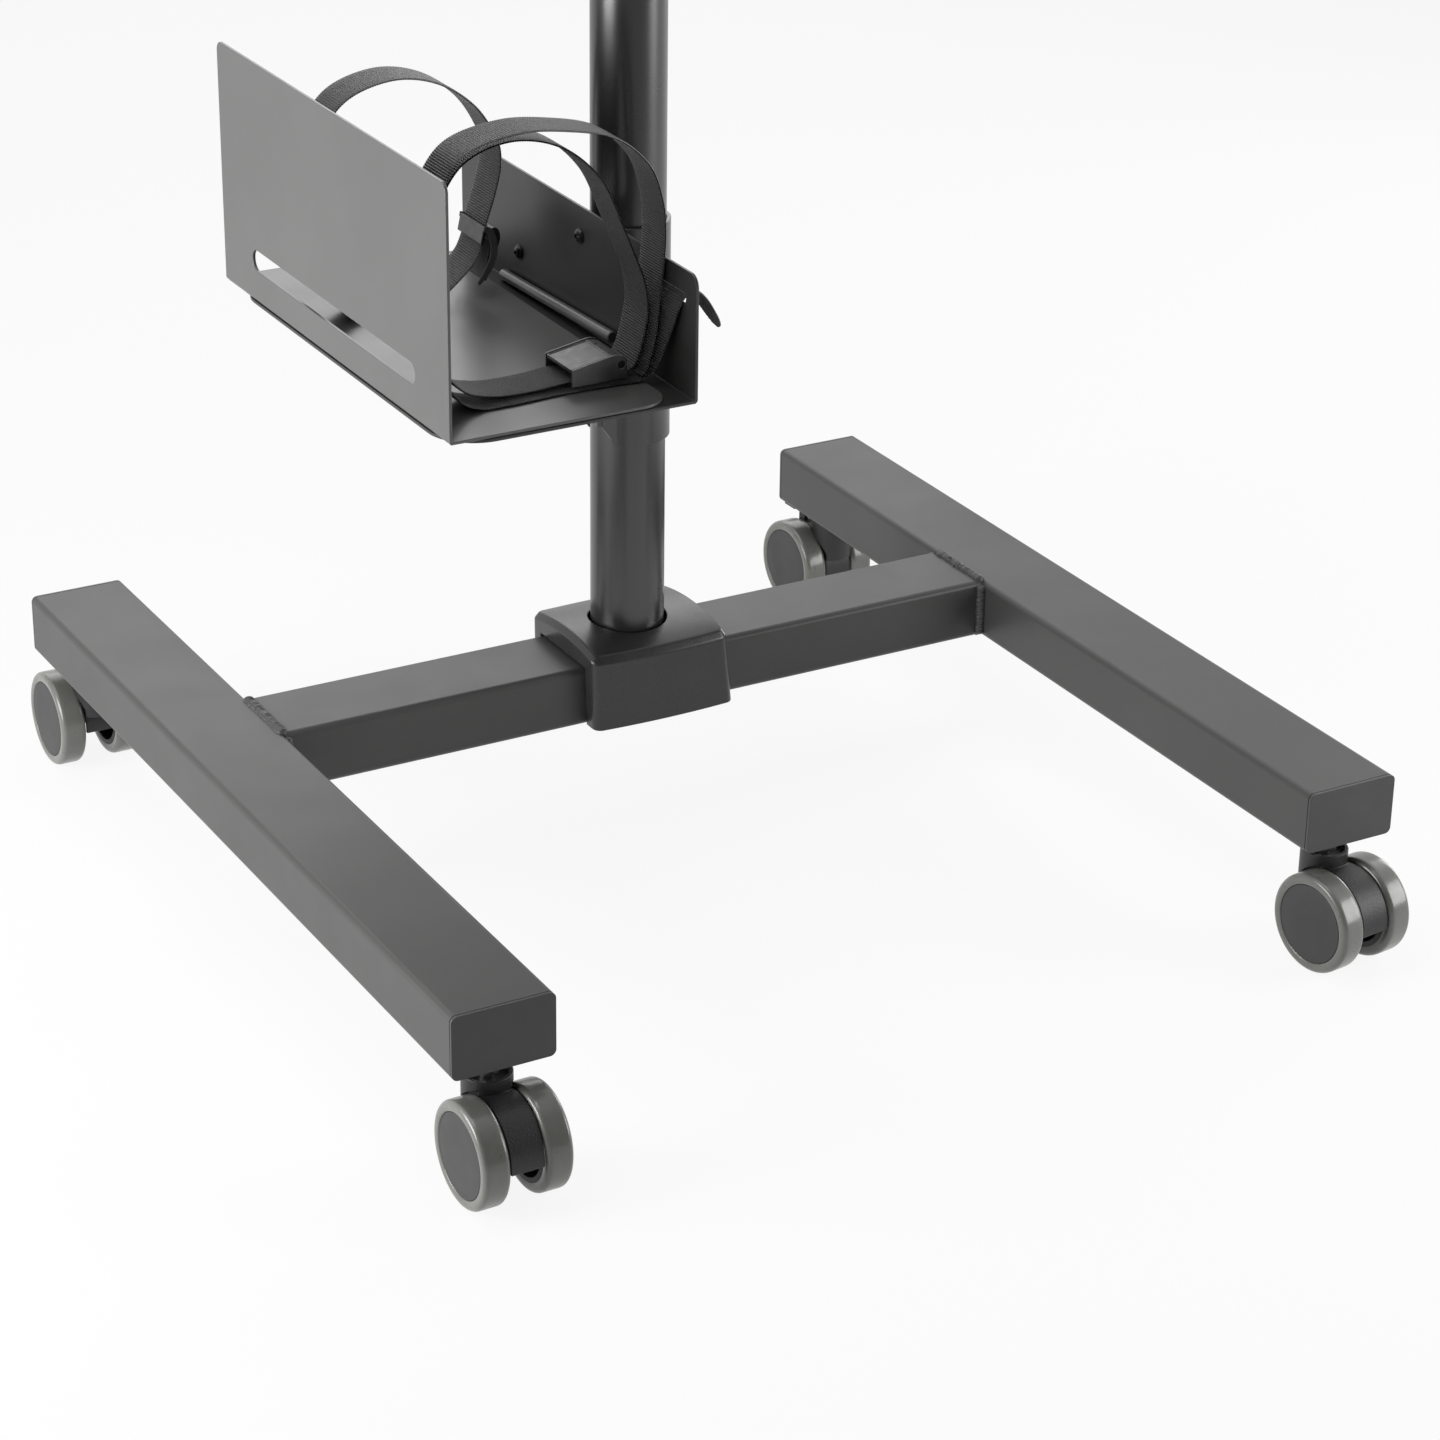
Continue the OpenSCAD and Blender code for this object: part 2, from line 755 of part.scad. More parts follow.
// Shell round the column, open towards the holder
module clamp_shell_shape() {
  reach = 2 * column_r;
  difference() {
    circle(column_r + clamp_t, $fn = 128);
    circle(column_r + slip, $fn = 128);
    polygon([[0, 0], [-reach, reach * tan(clamp_edge_angle)], [-reach, -reach * tan(clamp_edge_angle)]]);
  }
}

module clamp_strap() {
  leg = -clamp_face;
  edge_x = -(column_r + clamp_t) * cos(clamp_edge_angle);
  color([0.16, 0.16, 0.16])
    at_holder()
      difference() {
        union() {
          translate([0, 0, clamp_low]) linear_extrude(clamp_high - clamp_low) clamp_shell_shape();
          for (side = [0, 1])
            mirror([0, side, 0]) {
              translate([0, 0, clamp_low]) linear_extrude(clamp_high - clamp_low)
                difference() {
                  translate([-leg, clamp_leg_y - clamp_t]) square([leg * 0.6, clamp_t]);
                  circle(column_r + slip, $fn = 128);
                }
              translate([-leg, clamp_leg_y - clamp_t, ear_low]) cube([clamp_t, clamp_ear + clamp_t, ear_high - ear_low]);
            }
        }
        translate([0, 0, clamp_low]) along_y(4 * column_r)
          polygon([
            [-leg - cut, -cut], [edge_x, -cut], [edge_x, 0],
            [-leg, clamp_leg_rise], [-leg - cut, clamp_leg_rise]
          ]);
        for (z = clamp_screw_zs, side = [-1, 1])
          translate([-leg - cut, side * clamp_screw_y, z]) rotate([0, 90, 0])
            cylinder(d = wall_screw_d + 2 * loose, h = clamp_t + 2 * cut);
      }
}

// Button-head screw along +X, seated at x = 0, with a hexagon socket
module button_screw(thread, length, head_d, head_h) {
  socket = thread * 0.66;
  rotate([0, 90, 0])
    difference() {
      union() {
        translate([0, 0, -0.8]) cylinder(d = head_d + 2, h = 0.8 - loose);
        intersection() {
          translate([0, 0, -0.8 - head_h]) cylinder(d = head_d, h = head_h);
          translate([0, 0, head_d * 0.62 - head_h - 0.8]) sphere(d = head_d * 1.24);
        }
        translate([0, 0, -0.8]) cylinder(d = thread, h = length);
      }
      translate([0, 0, -cut - head_h - 0.8]) hex_prism(socket, head_h * 0.6 + cut);
    }
}

module clamp_screws() {
  color([0.1, 0.1, 0.1])
    at_holder() {
      for (place = wall_screw_places)
        translate([wall_x - sheet, place[0], place[1]])
          button_screw(wall_screw_d, sheet + clamp_plate_t + 0.8, 11, 3.4);
      for (z = clamp_screw_zs, side = [-1, 1])
        translate([clamp_face + clamp_t, side * clamp_screw_y, z]) mirror([1, 0, 0])
          button_screw(wall_screw_d, clamp_plate_t + clamp_t + 0.6, 11, 3.4);
    }
}

// Webbing and buckles: (x, z) from the column's axis and the holder's underside

near_y = -110;
outer_y = -122;
far_y = 100;
run_z = floor_top + strap_t / 2 + seat;
buckle_run_z = run_z + strap_t / 2 + seat + 3.5;
near_buckle_x = -93;
far_buckle = [-88, 43];
far_buckle_tilt = 78;

near_route = [
  [-232, 120], [-231, 80], [-224, 42], [-206, 19], [-184, 11], [-162, run_z + 2.7], [-140, run_z + 3.1],
  [-124, buckle_run_z - 0.2], [-114, buckle_run_z], [-93, buckle_run_z], [-73, buckle_run_z], [-65, 14],
  [-59.5, 23], [-54, 42], [-51.5, 60], [-55, 82], [-62, 100], [-72, 124], [-91, 165], [-124, 194],
  [-165, 204], [-204, 192], [-226, 158]
];
outer_route = [
  [-64, 10.9], [-59.3, 15], [-56, 24], [-51.3, 42], [-48.9, 60], [-46.5, 82], [-44.4, 100],
  [-43.4, 121], [-46, 146], [-57, 174], [-84, 198], [-122, 209], [-165, 213], [-209, 202],
  [-232, 168], [-237.5, 124], [-237, 82], [-230, 41], [-214, 16], [-197, 7.4], [-182, run_z], [-173, run_z]
];
// Points x, z, y
tail_route = [
  [-168, run_z, -119], [-140, run_z, -119], [-110, run_z, -119], [-84, run_z, -120],
  [-69, run_z + 0.1, -122], [-58.5, 10.5, -125], [-53, 22, -130], [-49.1, 40, -136], [-46.8, 56, -142],
  [-45.6, 67, -146], [wall_x - sheet / 2, strap_slot_z - 0.3, strap_slot_y], [-35, 80.5, strap_slot_y],
  [-28, 79.5, strap_slot_y], [-20.5, 71, strap_slot_y], [-14.5, 61, strap_slot_y], [-11.5, 53, strap_slot_y]
];
far_lean = [cos(far_buckle_tilt), sin(far_buckle_tilt)];
far_route = [
  [-232, 110], [-230, 72], [-221, 38], [-206, 18], [-188, 9], [-168, run_z + 0.2], [-145, run_z + 0.1],
  [-126, run_z + 0.3], [-112, 7.6], [-102, 9.6], [-96.5, 12.4],
  for (s = [-27, -20, -10, 0, 10, 20, 27]) far_buckle + s * far_lean,
  [-78.5, 80], [-73, 98], [-69.5, 116], [-73, 136], [-92, 165], [-124, 187], [-162, 194], [-202, 182], [-225, 150]
];

// Point on a smooth curve through four points, t from 0 at p1 to 1 at p2
function blend_point(p0, p1, p2, p3, t) =
  0.5 * (2 * p1 + (p2 - p0) * t + (2 * p0 - 5 * p1 + 4 * p2 - p3) * t * t
  + (3 * p1 - p0 - 3 * p2 + p3) * t * t * t);

curve_steps = 3;

function open_curve(points) = let (last = len(points) - 1) [
  for (i = [0:last - 1], k = [0:curve_steps - 1])
    blend_point(points[max(i - 1, 0)], points[i], points[i + 1], points[min(i + 2, last)], k / curve_steps),
  points[last]
];

function closed_curve(points) = let (n = len(points)) [
  for (i = [0:n - 1], k = [0:curve_steps - 1])
    blend_point(points[(i + n - 1) % n], points[i], points[(i + 1) % n], points[(i + 2) % n], k / curve_steps)
];

function side_step(a, b, amount) = let (d = b - a) amount * [-d[1], d[0]] / norm(d);

function open_edge(curve, amount) = let (last = len(curve) - 1) [
  for (i = [0:last]) curve[i] + side_step(curve[max(i - 1, 0)], curve[min(i + 1, last)], amount)
];

function closed_edge(curve, amount) = let (n = len(curve)) [
  for (i = [0:n - 1]) curve[i] + side_step(curve[(i + n - 1) % n], curve[(i + 1) % n], amount)
];

function reversed(list) = [for (i = [len(list) - 1:-1:0]) list[i]];

module open_ribbon(route) {
  curve = open_curve(route);
  along_y(strap_w) polygon(concat(open_edge(curve, strap_t / 2), reversed(open_edge(curve, -strap_t / 2))));
}

module closed_ribbon(route) {
  curve = closed_curve(route);
  along_y(strap_w)
    difference() {
      polygon(closed_edge(curve, -strap_t / 2));
      polygon(closed_edge(curve, strap_t / 2));
    }
}

module near_strap() {
  color([0.08, 0.08, 0.08]) at_holder() translate([0, near_y, 0]) closed_ribbon(near_route);
}

module near_strap_outer() {
  color([0.08, 0.08, 0.08]) at_holder() translate([0, outer_y, 0]) open_ribbon(outer_route);
}

// Ribbon that also drifts sideways: each station has four corners
module drifting_ribbon(route) {
  curve = open_curve(route);
  last = len(curve) - 1;
  line = [for (p = curve) [p[0], p[1]]];
  points = [
    for (i = [0:last])
      let (s = side_step(line[max(i - 1, 0)], line[min(i + 1, last)], strap_t / 2))
        for (corner = [[1, -1], [1, 1], [-1, 1], [-1, -1]])
          [line[i][0] + corner[0] * s[0], curve[i][2] + corner[1] * strap_w / 2, line[i][1] + corner[0] * s[1]]
  ];
  faces = [
    [3, 2, 1], [3, 1, 0],
    for (i = [0:last - 1], j = [0:3])
      let (k = (j + 1) % 4) each [
        [4 * i + j, 4 * i + k, 4 * i + 4 + k],
        [4 * i + j, 4 * i + 4 + k, 4 * i + 4 + j]
      ],
    [4 * last, 4 * last + 1, 4 * last + 2], [4 * last, 4 * last + 2, 4 * last + 3]
  ];
  polyhedron(points, faces);
}

module near_strap_tail() {
  color([0.08, 0.08, 0.08]) at_holder() drifting_ribbon(tail_route);
}

module far_strap() {
  color([0.08, 0.08, 0.08]) at_holder() translate([0, far_y, 0]) closed_ribbon(far_route);
}

// Cam buckle: the webbing runs along local x at local z = 0, the base plate lies below it
buckle_pivot = [17, 8];
buckle_pin_r = 2;
buckle_half = buckle_len / 2;
base_low = -3.5;
base_high = -1.5;
channel_half = strap_w / 2 + 1;

module buckle_frame() {
  cheek = [
    [-buckle_half, base_low], [buckle_half, base_low], [buckle_half, buckle_pivot[1] + 3],
    [buckle_half - 3, buckle_pivot[1] + 5.5], [buckle_pivot[0] - 4, buckle_pivot[1] + 5], [-buckle_half, 4]
  ];
  bar_r = 1.8;
  for (side = [-1, 1])
    translate([0, side * (channel_half + cheek_t / 2), 0])
      difference() {
        along_y(cheek_t) polygon(cheek);
        translate([buckle_pivot[0], 0, buckle_pivot[1]]) rotate([90, 0, 0])
          cylinder(r = buckle_pin_r + slip, h = cheek_t + 2 * cut, center = true);
      }
  translate([-buckle_half, -channel_half - cut, base_low])
    cube([buckle_len, 2 * (channel_half + cut), base_high - base_low]);
  translate([-buckle_half + bar_r, 0, 3.2]) rotate([90, 0, 0])
    cylinder(r = bar_r, h = 2 * (channel_half + cut), center = true);
}

module buckle_lever() {
  lever_half = channel_half - seat;
  nose_r = 6.2;
  tip = [-buckle_half + 4.4, 5.6];
  along_y(2 * lever_half)
    union() {
      translate(buckle_pivot) circle(nose_r);
      polygon([
        [buckle_pivot[0], buckle_pivot[1] + nose_r], [tip[0], tip[1] + 2.6], tip,
        [buckle_pivot[0] - nose_r, buckle_pivot[1] - 0.5], [buckle_pivot[0], buckle_pivot[1]]
      ]);
    }
  translate([buckle_pivot[0], 0, buckle_pivot[1]]) rotate([90, 0, 0])
    cylinder(r = buckle_pin_r, h = 2 * (channel_half + cheek_t), center = true);
}

module at_near_buckle() {
  at_holder() translate([near_buckle_x, near_y, buckle_run_z]) children();
}

module at_far_buckle() {
  at_holder() translate([far_buckle[0], far_y, far_buckle[1]]) rotate([0, -far_buckle_tilt, 0]) rotate([180, 0, 0]) children();
}

module near_buckle_frame() { color([0.15, 0.15, 0.15]) at_near_buckle() buckle_frame(); }

module near_buckle_lever() { color([0.18, 0.18, 0.18]) at_near_buckle() buckle_lever(); }

module far_buckle_frame() { color([0.15, 0.15, 0.15]) at_far_buckle() buckle_frame(); }

module far_buckle_lever() { color([0.18, 0.18, 0.18]) at_far_buckle() buckle_lever(); }

// Monitor head

collar_r = column_r + head_collar_wall;
clevis_y = -collar_r - 24;
clevis_gap = 24;
clevis_t = 6;
clevis_r = 15;
knuckle_w = clevis_gap - 2 * seat;
ear_gap = 3;
ear_t = 10;
ear_len = 26;
knob_bolt_d = 8;
plate_y = clevis_y - 34;

module at_head() {
  translate([0, bar_offset, head_z]) children();
}

module head_collar() {
  ear_y = collar_r + ear_len / 2 - 4;
  color([0.16, 0.16, 0.16])
    at_head()
      difference() {
        union() {
          cylinder(r = collar_r, h = head_collar_h, center = true, $fn = 96);
          translate([0, ear_y, 0]) cube([ear_gap + 2 * ear_t, ear_len, head_collar_h - 20], center = true);
          for (side = [-1, 1])
            translate([side * (clevis_gap + clevis_t) / 2, 0, 0]) {
              translate([0, clevis_y, 0]) rotate([0, 90, 0]) cylinder(r = clevis_r, h = clevis_t, center = true);
              translate([0, (clevis_y - column_r) / 2, 0]) cube([clevis_t, -clevis_y - column_r, 2 * clevis_r], center = true);
            }
        }
        cylinder(r = column_r + slip, h = head_collar_h + 2 * cut, center = true, $fn = 128);
        translate([0, collar_r, 0]) cube([ear_gap, 3 * ear_len, head_collar_h + 2 * cut], center = true);
        translate([0, ear_y + 4, 0]) rotate([0, 90, 0]) cylinder(d = knob_bolt_d + 2 * slip, h = 4 * ear_t, center = true);
        translate([0, clevis_y, 0]) rotate([0, 90, 0]) cylinder(d = tilt_bolt_d + 2 * slip, h = 3 * clevis_gap, center = true);
      }
}

module collar_knob() {
  knob_y = collar_r + ear_len / 2;
  lobe = 11.5;
  knob_h = 18;
  half = ear_gap / 2 + ear_t;
  color([0.1, 0.1, 0.1])
    at_head()
      translate([0, knob_y, 0]) rotate([0, 90, 0]) {
        translate([0, 0, -half - 8]) cylinder(d = knob_bolt_d, h = 2 * half + 10);
        translate([0, 0, -half - seat - 6]) hex_prism(13, 6);
        translate([0, 0, half + seat]) {
          cylinder(r = 9, h = knob_h);
          translate([0, 0, 6])
            difference() {
              cylinder(r = lobe + 5, h = knob_h - 6);
              for (turn = [0:4])
                rotate([0, 0, turn * 72]) translate([lobe + 9, 0, -cut]) cylinder(r = 9, h = knob_h, $fn = 32);
            }
        }
      }
}

module tilt_knuckle() {
  disc_r = 26;
  disc_t = 6;
  color([0.16, 0.16, 0.16])
    at_head()
      difference() {
        union() {
          translate([0, clevis_y, 0]) rotate([0, 90, 0]) cylinder(r = clevis_r - 1, h = knuckle_w, center = true);
          translate([-knuckle_w / 2, plate_y + disc_t / 2, -clevis_r + 4]) cube([knuckle_w, clevis_y - plate_y - disc_t / 2, 2 * clevis_r - 8]);
          translate([0, plate_y + disc_t, 0]) rotate([90, 0, 0]) cylinder(r = disc_r, h = disc_t);
          translate([0, plate_y + 1, 0]) rotate([90, 0, 0]) cylinder(r = pivot_boss_r, h = plate_t - pocket_t + 1 + seat + slip);
        }
        translate([0, plate_y + 14, 0]) rotate([90, 0, 0]) cylinder(r = plate_screw_r + loose, h = 30);
        translate([0, clevis_y, 0]) rotate([0, 90, 0]) cylinder(d = tilt_bolt_d + 2 * slip, h = 2 * knuckle_w, center = true);
      }
}

pivot_boss_r = 12;
pocket_r = 14.5;
pocket_t = 1.7;
plate_screw_r = 3;

// Flat disc screw that keeps the monitor plate on its pivot, sunk in the plate
module plate_screw() {
  disc_t = 1.4;
  shank = 13;
  color([0.5, 0.5, 0.5])
    at_head()
      translate([0, plate_y - seat - plate_t + pocket_t - slip, 0]) rotate([90, 0, 0])
        difference() {
          union() {
            cylinder(r = pocket_r - seat, h = disc_t);
            translate([0, 0, -shank]) cylinder(r = plate_screw_r, h = shank + 0.1);
          }
          translate([0, 0, disc_t - 0.9]) hex_prism(4, 2);
        }
}

module tilt_bolt() {
  head_h = 6;
  half = clevis_gap / 2 + clevis_t;
  color([0.6, 0.6, 0.6])
    at_head()
      translate([0, clevis_y, 0]) rotate([0, 90, 0]) {
        translate([0, 0, -half - seat]) cylinder(d = tilt_bolt_d, h = 2 * (half + seat) + 8);
        translate([0, 0, -half - seat - head_h]) hex_prism(16, head_h);
        translate([0, 0, half + seat]) hex_prism(16, 7);
      }
}

module monitor_plate() {
  color([0.16, 0.16, 0.16])
    at_head()
      translate([0, plate_y - seat, 0]) rotate([90, 0, 0])
        difference() {
          linear_extrude(plate_t)
            difference() {
              rounded_rect(plate_size, plate_size, 10);
              circle(r = pivot_boss_r + slip);
              for (spacing = [hole_spacing, hole_spacing_small], x = [-1, 1], y = [-1, 1])
                translate([x * spacing / 2, y * spacing / 2]) circle(d = screw_hole_d);
            }
          translate([0, 0, plate_t - pocket_t]) cylinder(r = pocket_r, h = pocket_t + cut);
        }
}

left_rail();
right_rail();
rail_end_caps();
crossbar();
weld_beads();
caster_sockets();
caster_stems();
front_left_fork();
front_left_axle();
front_left_outer_hub();
front_left_outer_tread();
front_left_inner_hub();
front_left_inner_tread();
front_right_fork();
front_right_axle();
front_right_outer_hub();
front_right_outer_tread();
front_right_inner_hub();
front_right_inner_tread();
rear_left_fork();
rear_left_axle();
rear_left_outer_hub();
rear_left_outer_tread();
rear_left_inner_hub();
rear_left_inner_tread();
rear_left_brake_pedal();
rear_right_fork();
rear_right_axle();
rear_right_outer_hub();
rear_right_outer_tread();
rear_right_inner_hub();
rear_right_inner_tread();
rear_right_brake_pedal();
column_tube();
column_foot_plug();
column_foot_bolt();
column_cover();
column_top_cap();
clamp_plate();
clamp_saddle();
clamp_strap();
clamp_screws();
holder_right_plate();
holder_left_plate();
strap_rod();
width_screws();
near_strap();
near_strap_outer();
near_strap_tail();
near_buckle_frame();
near_buckle_lever();
far_strap();
far_buckle_frame();
far_buckle_lever();
head_collar();
collar_knob();
tilt_knuckle();
tilt_bolt();
plate_screw();
monitor_plate();
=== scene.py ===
"""Looks of the mobile monitor stand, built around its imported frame. Metres, floor at z = 0."""

import json
import math

import bmesh
import bpy
import numpy as np
from mathutils import Matrix, Vector

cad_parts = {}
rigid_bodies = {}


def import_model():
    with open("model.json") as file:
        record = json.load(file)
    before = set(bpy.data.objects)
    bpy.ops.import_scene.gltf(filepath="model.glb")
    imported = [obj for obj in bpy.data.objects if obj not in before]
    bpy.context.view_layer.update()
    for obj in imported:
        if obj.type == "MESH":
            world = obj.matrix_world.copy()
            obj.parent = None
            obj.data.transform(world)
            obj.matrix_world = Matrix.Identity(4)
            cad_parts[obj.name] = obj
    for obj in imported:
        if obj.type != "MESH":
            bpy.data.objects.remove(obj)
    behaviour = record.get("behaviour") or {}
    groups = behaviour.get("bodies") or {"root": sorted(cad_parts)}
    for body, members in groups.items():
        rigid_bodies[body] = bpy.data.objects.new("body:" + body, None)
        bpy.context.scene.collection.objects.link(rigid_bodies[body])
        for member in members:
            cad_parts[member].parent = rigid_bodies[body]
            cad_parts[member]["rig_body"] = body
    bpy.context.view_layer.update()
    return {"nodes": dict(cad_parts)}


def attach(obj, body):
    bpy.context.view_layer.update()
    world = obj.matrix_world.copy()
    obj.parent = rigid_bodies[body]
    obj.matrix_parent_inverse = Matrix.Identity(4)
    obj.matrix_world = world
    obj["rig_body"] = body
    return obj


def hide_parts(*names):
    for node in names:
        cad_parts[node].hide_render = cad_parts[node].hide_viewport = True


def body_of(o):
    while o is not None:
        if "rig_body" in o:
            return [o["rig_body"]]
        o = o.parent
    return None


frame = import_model()
nodes = frame["nodes"]
MM = 0.001

# Weave of the webbing, in millimetres: the space between its yarns and between its ribs
YARN = 1.15
RIB = 2.0


# Materials

def tone(value):
    """Linear value of a display tone from 0 to 255."""
    share = value / 255
    return share / 12.92 if share <= 0.04045 else ((share + 0.055) / 1.055) ** 2.4


def grey(value, warm=0):
    """Linear colour of a grey display tone, a little warmer or cooler."""
    return (tone(value + warm), tone(value), tone(max(value - warm, 0)), 1)


def compute(tree, kind, first, second=None):
    """One sum of numbers or sockets in a node tree."""
    node = tree.nodes.new("ShaderNodeMath")
    node.operation = kind
    for socket, value in zip(node.inputs, (first, second)):
        if value is None:
            continue
        if isinstance(value, (int, float)):
            socket.default_value = value
        else:
            tree.links.new(value, socket)
    return node.outputs["Value"]


class Finish:
    """A procedural material: two close colours, uneven roughness and fine relief."""

    def __init__(self, name, **sockets):
        self.material = bpy.data.materials.new(name)
        self.material.use_nodes = True
        self.tree = self.material.node_tree
        self.shader = self.tree.nodes["Principled BSDF"]
        for socket, value in sockets.items():
            self.shader.inputs[socket.replace("_", " ")].default_value = value
        self.place = self.tree.nodes.new("ShaderNodeTexCoord").outputs["Object"]
        self.relief = None

    def link(self, source, target):
        self.tree.links.new(source, target)

    def noise(self, scale, detail, rough=0.55, stretch=None):
        """Cloudy noise in the object's own metres, drawn out where stretch is given."""
        node = self.tree.nodes.new("ShaderNodeTexNoise")
        node.inputs["Scale"].default_value = scale
        node.inputs["Detail"].default_value = detail
        node.inputs["Roughness"].default_value = rough
        if stretch:
            mapping = self.tree.nodes.new("ShaderNodeMapping")
            mapping.inputs["Scale"].default_value = stretch
            self.link(self.place, mapping.inputs["Vector"])
            self.link(mapping.outputs["Vector"], node.inputs["Vector"])
        else:
            self.link(self.place, node.inputs["Vector"])
        return node.outputs["Fac"]

    def cells(self, scale):
        """Distance within Voronoi cells, for a cast grain."""
        node = self.tree.nodes.new("ShaderNodeTexVoronoi")
        node.inputs["Scale"].default_value = scale
        self.link(self.place, node.inputs["Vector"])
        return node.outputs["Distance"]

    def spread(self, source, low, high, start=0.3, end=0.7):
        """Maps the source's values from start to end onto low to high."""
        node = self.tree.nodes.new("ShaderNodeMapRange")
        node.inputs["From Min"].default_value = start
        node.inputs["From Max"].default_value = end
        node.inputs["To Min"].default_value = low
        node.inputs["To Max"].default_value = high
        self.link(source, node.inputs["Value"])
        return node.outputs["Result"]

    def compute(self, kind, first, second=None):
        return compute(self.tree, kind, first, second)

    def colours(self, source, low, high, start=0.3, end=0.7):
        """Base colour between two close colours."""
        ramp = self.tree.nodes.new("ShaderNodeValToRGB")
        ramp.color_ramp.elements[0].position = start
        ramp.color_ramp.elements[0].color = low
        ramp.color_ramp.elements[1].position = end
        ramp.color_ramp.elements[1].color = high
        self.link(source, ramp.inputs["Fac"])
        self.link(ramp.outputs["Color"], self.shader.inputs["Base Color"])

    def roughness(self, source, low, high):
        """Roughness between two values."""
        self.link(self.spread(source, low, high), self.shader.inputs["Roughness"])

    def bump(self, source, strength, depth):
        """Adds one layer of relief over those before it."""
        node = self.tree.nodes.new("ShaderNodeBump")
        node.inputs["Strength"].default_value = strength
        node.inputs["Distance"].default_value = depth
        self.link(source, node.inputs["Height"])
        if self.relief:
            self.link(self.relief, node.inputs["Normal"])
        self.relief = node.outputs["Normal"]
        self.link(self.relief, self.shader.inputs["Normal"])


def powder_coat(name, low, high, rough, gloss):
    """Satin powder coat: fine orange peel, faint clouds and a little unevenness of gloss."""
    coat = Finish(name, Specular_IOR_Level=gloss)
    coat.colours(coat.noise(scale=9, detail=4), grey(low, 0.4), grey(high, 0.4))
    coat.roughness(coat.noise(scale=14, detail=3), rough - 0.02, rough + 0.03)
    coat.bump(coat.noise(scale=420, detail=2), 0.05, 0.00012)
    coat.bump(coat.noise(scale=1300, detail=1), 0.04, 0.00004)
    return coat.material


def moulded(name, low, high, rough, grain, depth, strength):
    """Moulded plastic with a cast grain."""
    plastic = Finish(name, Specular_IOR_Level=0.45)
    plastic.colours(plastic.noise(scale=25, detail=3), grey(low), grey(high))
    plastic.roughness(plastic.noise(scale=30, detail=3), rough - 0.03, rough + 0.04)
    plastic.bump(plastic.cells(grain), strength, depth)
    plastic.bump(plastic.noise(scale=grain * 0.6, detail=2), strength * 0.7, depth)
    return plastic.material


def metal(name, low, high, rough, stretch=None):
    """Plated or drawn steel."""
    steel = Finish(name, Metallic=1.0)
    steel.colours(steel.noise(scale=140, detail=4, stretch=stretch), grey(low), grey(high))
    steel.roughness(steel.noise(scale=260, detail=3, stretch=stretch), rough - 0.06, rough + 0.1)
    steel.bump(steel.noise(scale=700, detail=2, stretch=stretch), 0.12, 0.00006)
    return steel.material


def tread_rubber():
    """Glossy warm grey wheel rubber, a little cloudy, with rolling marks."""
    rubber = Finish("tread", Specular_IOR_Level=0.55, Coat_Weight=0.35, Coat_Roughness=0.12)
    clouds = rubber.noise(scale=38, detail=5, rough=0.6)
    rubber.colours(clouds, (0.132, 0.132, 0.121, 1), (0.158, 0.157, 0.144, 1))
    rubber.roughness(rubber.noise(scale=120, detail=4), 0.26, 0.38)
    rubber.bump(rubber.noise(scale=300, detail=3), 0.08, 0.00015)
    return rubber.material


def woven():
    """Black webbing: ribs across, yarns along, in the strip's own flat coordinates; their crests are
    coloured lighter, a painted highlight.
    """
    cloth = Finish("webbing", Specular_IOR_Level=0.8)
    strip = cloth.tree.nodes.new("ShaderNodeUVMap")
    split = cloth.tree.nodes.new("ShaderNodeSeparateXYZ")
    cloth.link(strip.outputs["UV"], split.inputs["Vector"])
    across = cloth.compute("MULTIPLY", split.outputs["X"], math.pi / YARN * 1000)
    along = cloth.compute("MULTIPLY", split.outputs["Y"], math.pi / RIB * 1000)
    yarn = cloth.compute("ABSOLUTE", cloth.compute("SINE", across))
    rib = cloth.compute("ABSOLUTE", cloth.compute("SINE", along))
    weave = cloth.compute("MULTIPLY", yarn, rib)
    fuzz = cloth.noise(scale=900, detail=3)
    # Colour lighter on the crests of the ribs and yarns: painted highlight, with random fuzz added.
    crest_highlight_and_fuzz = cloth.compute("ADD", weave, cloth.compute("MULTIPLY", fuzz, 0.5))
    cloth.colours(crest_highlight_and_fuzz, grey(4), grey(26), 0.15, 1.25)
    cloth.roughness(fuzz, 0.28, 0.45)
    cloth.bump(weave, 0.9, 0.0008)
    cloth.bump(fuzz, 0.25, 0.0001)
    return cloth.material


def worn_black(name, low, high, rough, worn):
    """Black paint on sheet steel, with specks where it has rubbed."""
    paint = Finish(name, Specular_IOR_Level=0.5)
    specks = paint.spread(paint.noise(scale=520, detail=4, rough=0.7), 0.0, 1.0, 0.66, 0.78)
    clouds = paint.spread(paint.noise(scale=60, detail=3), 0.0, 0.35)
    wear = paint.compute("MULTIPLY", specks, worn)
    paint.colours(paint.compute("ADD", clouds, wear), grey(low), grey(high), 0, 1)
    paint.roughness(paint.noise(scale=150, detail=3), rough - 0.05, rough + 0.08)
    paint.bump(paint.noise(scale=800, detail=2), 0.12, 0.00008)
    return paint.material


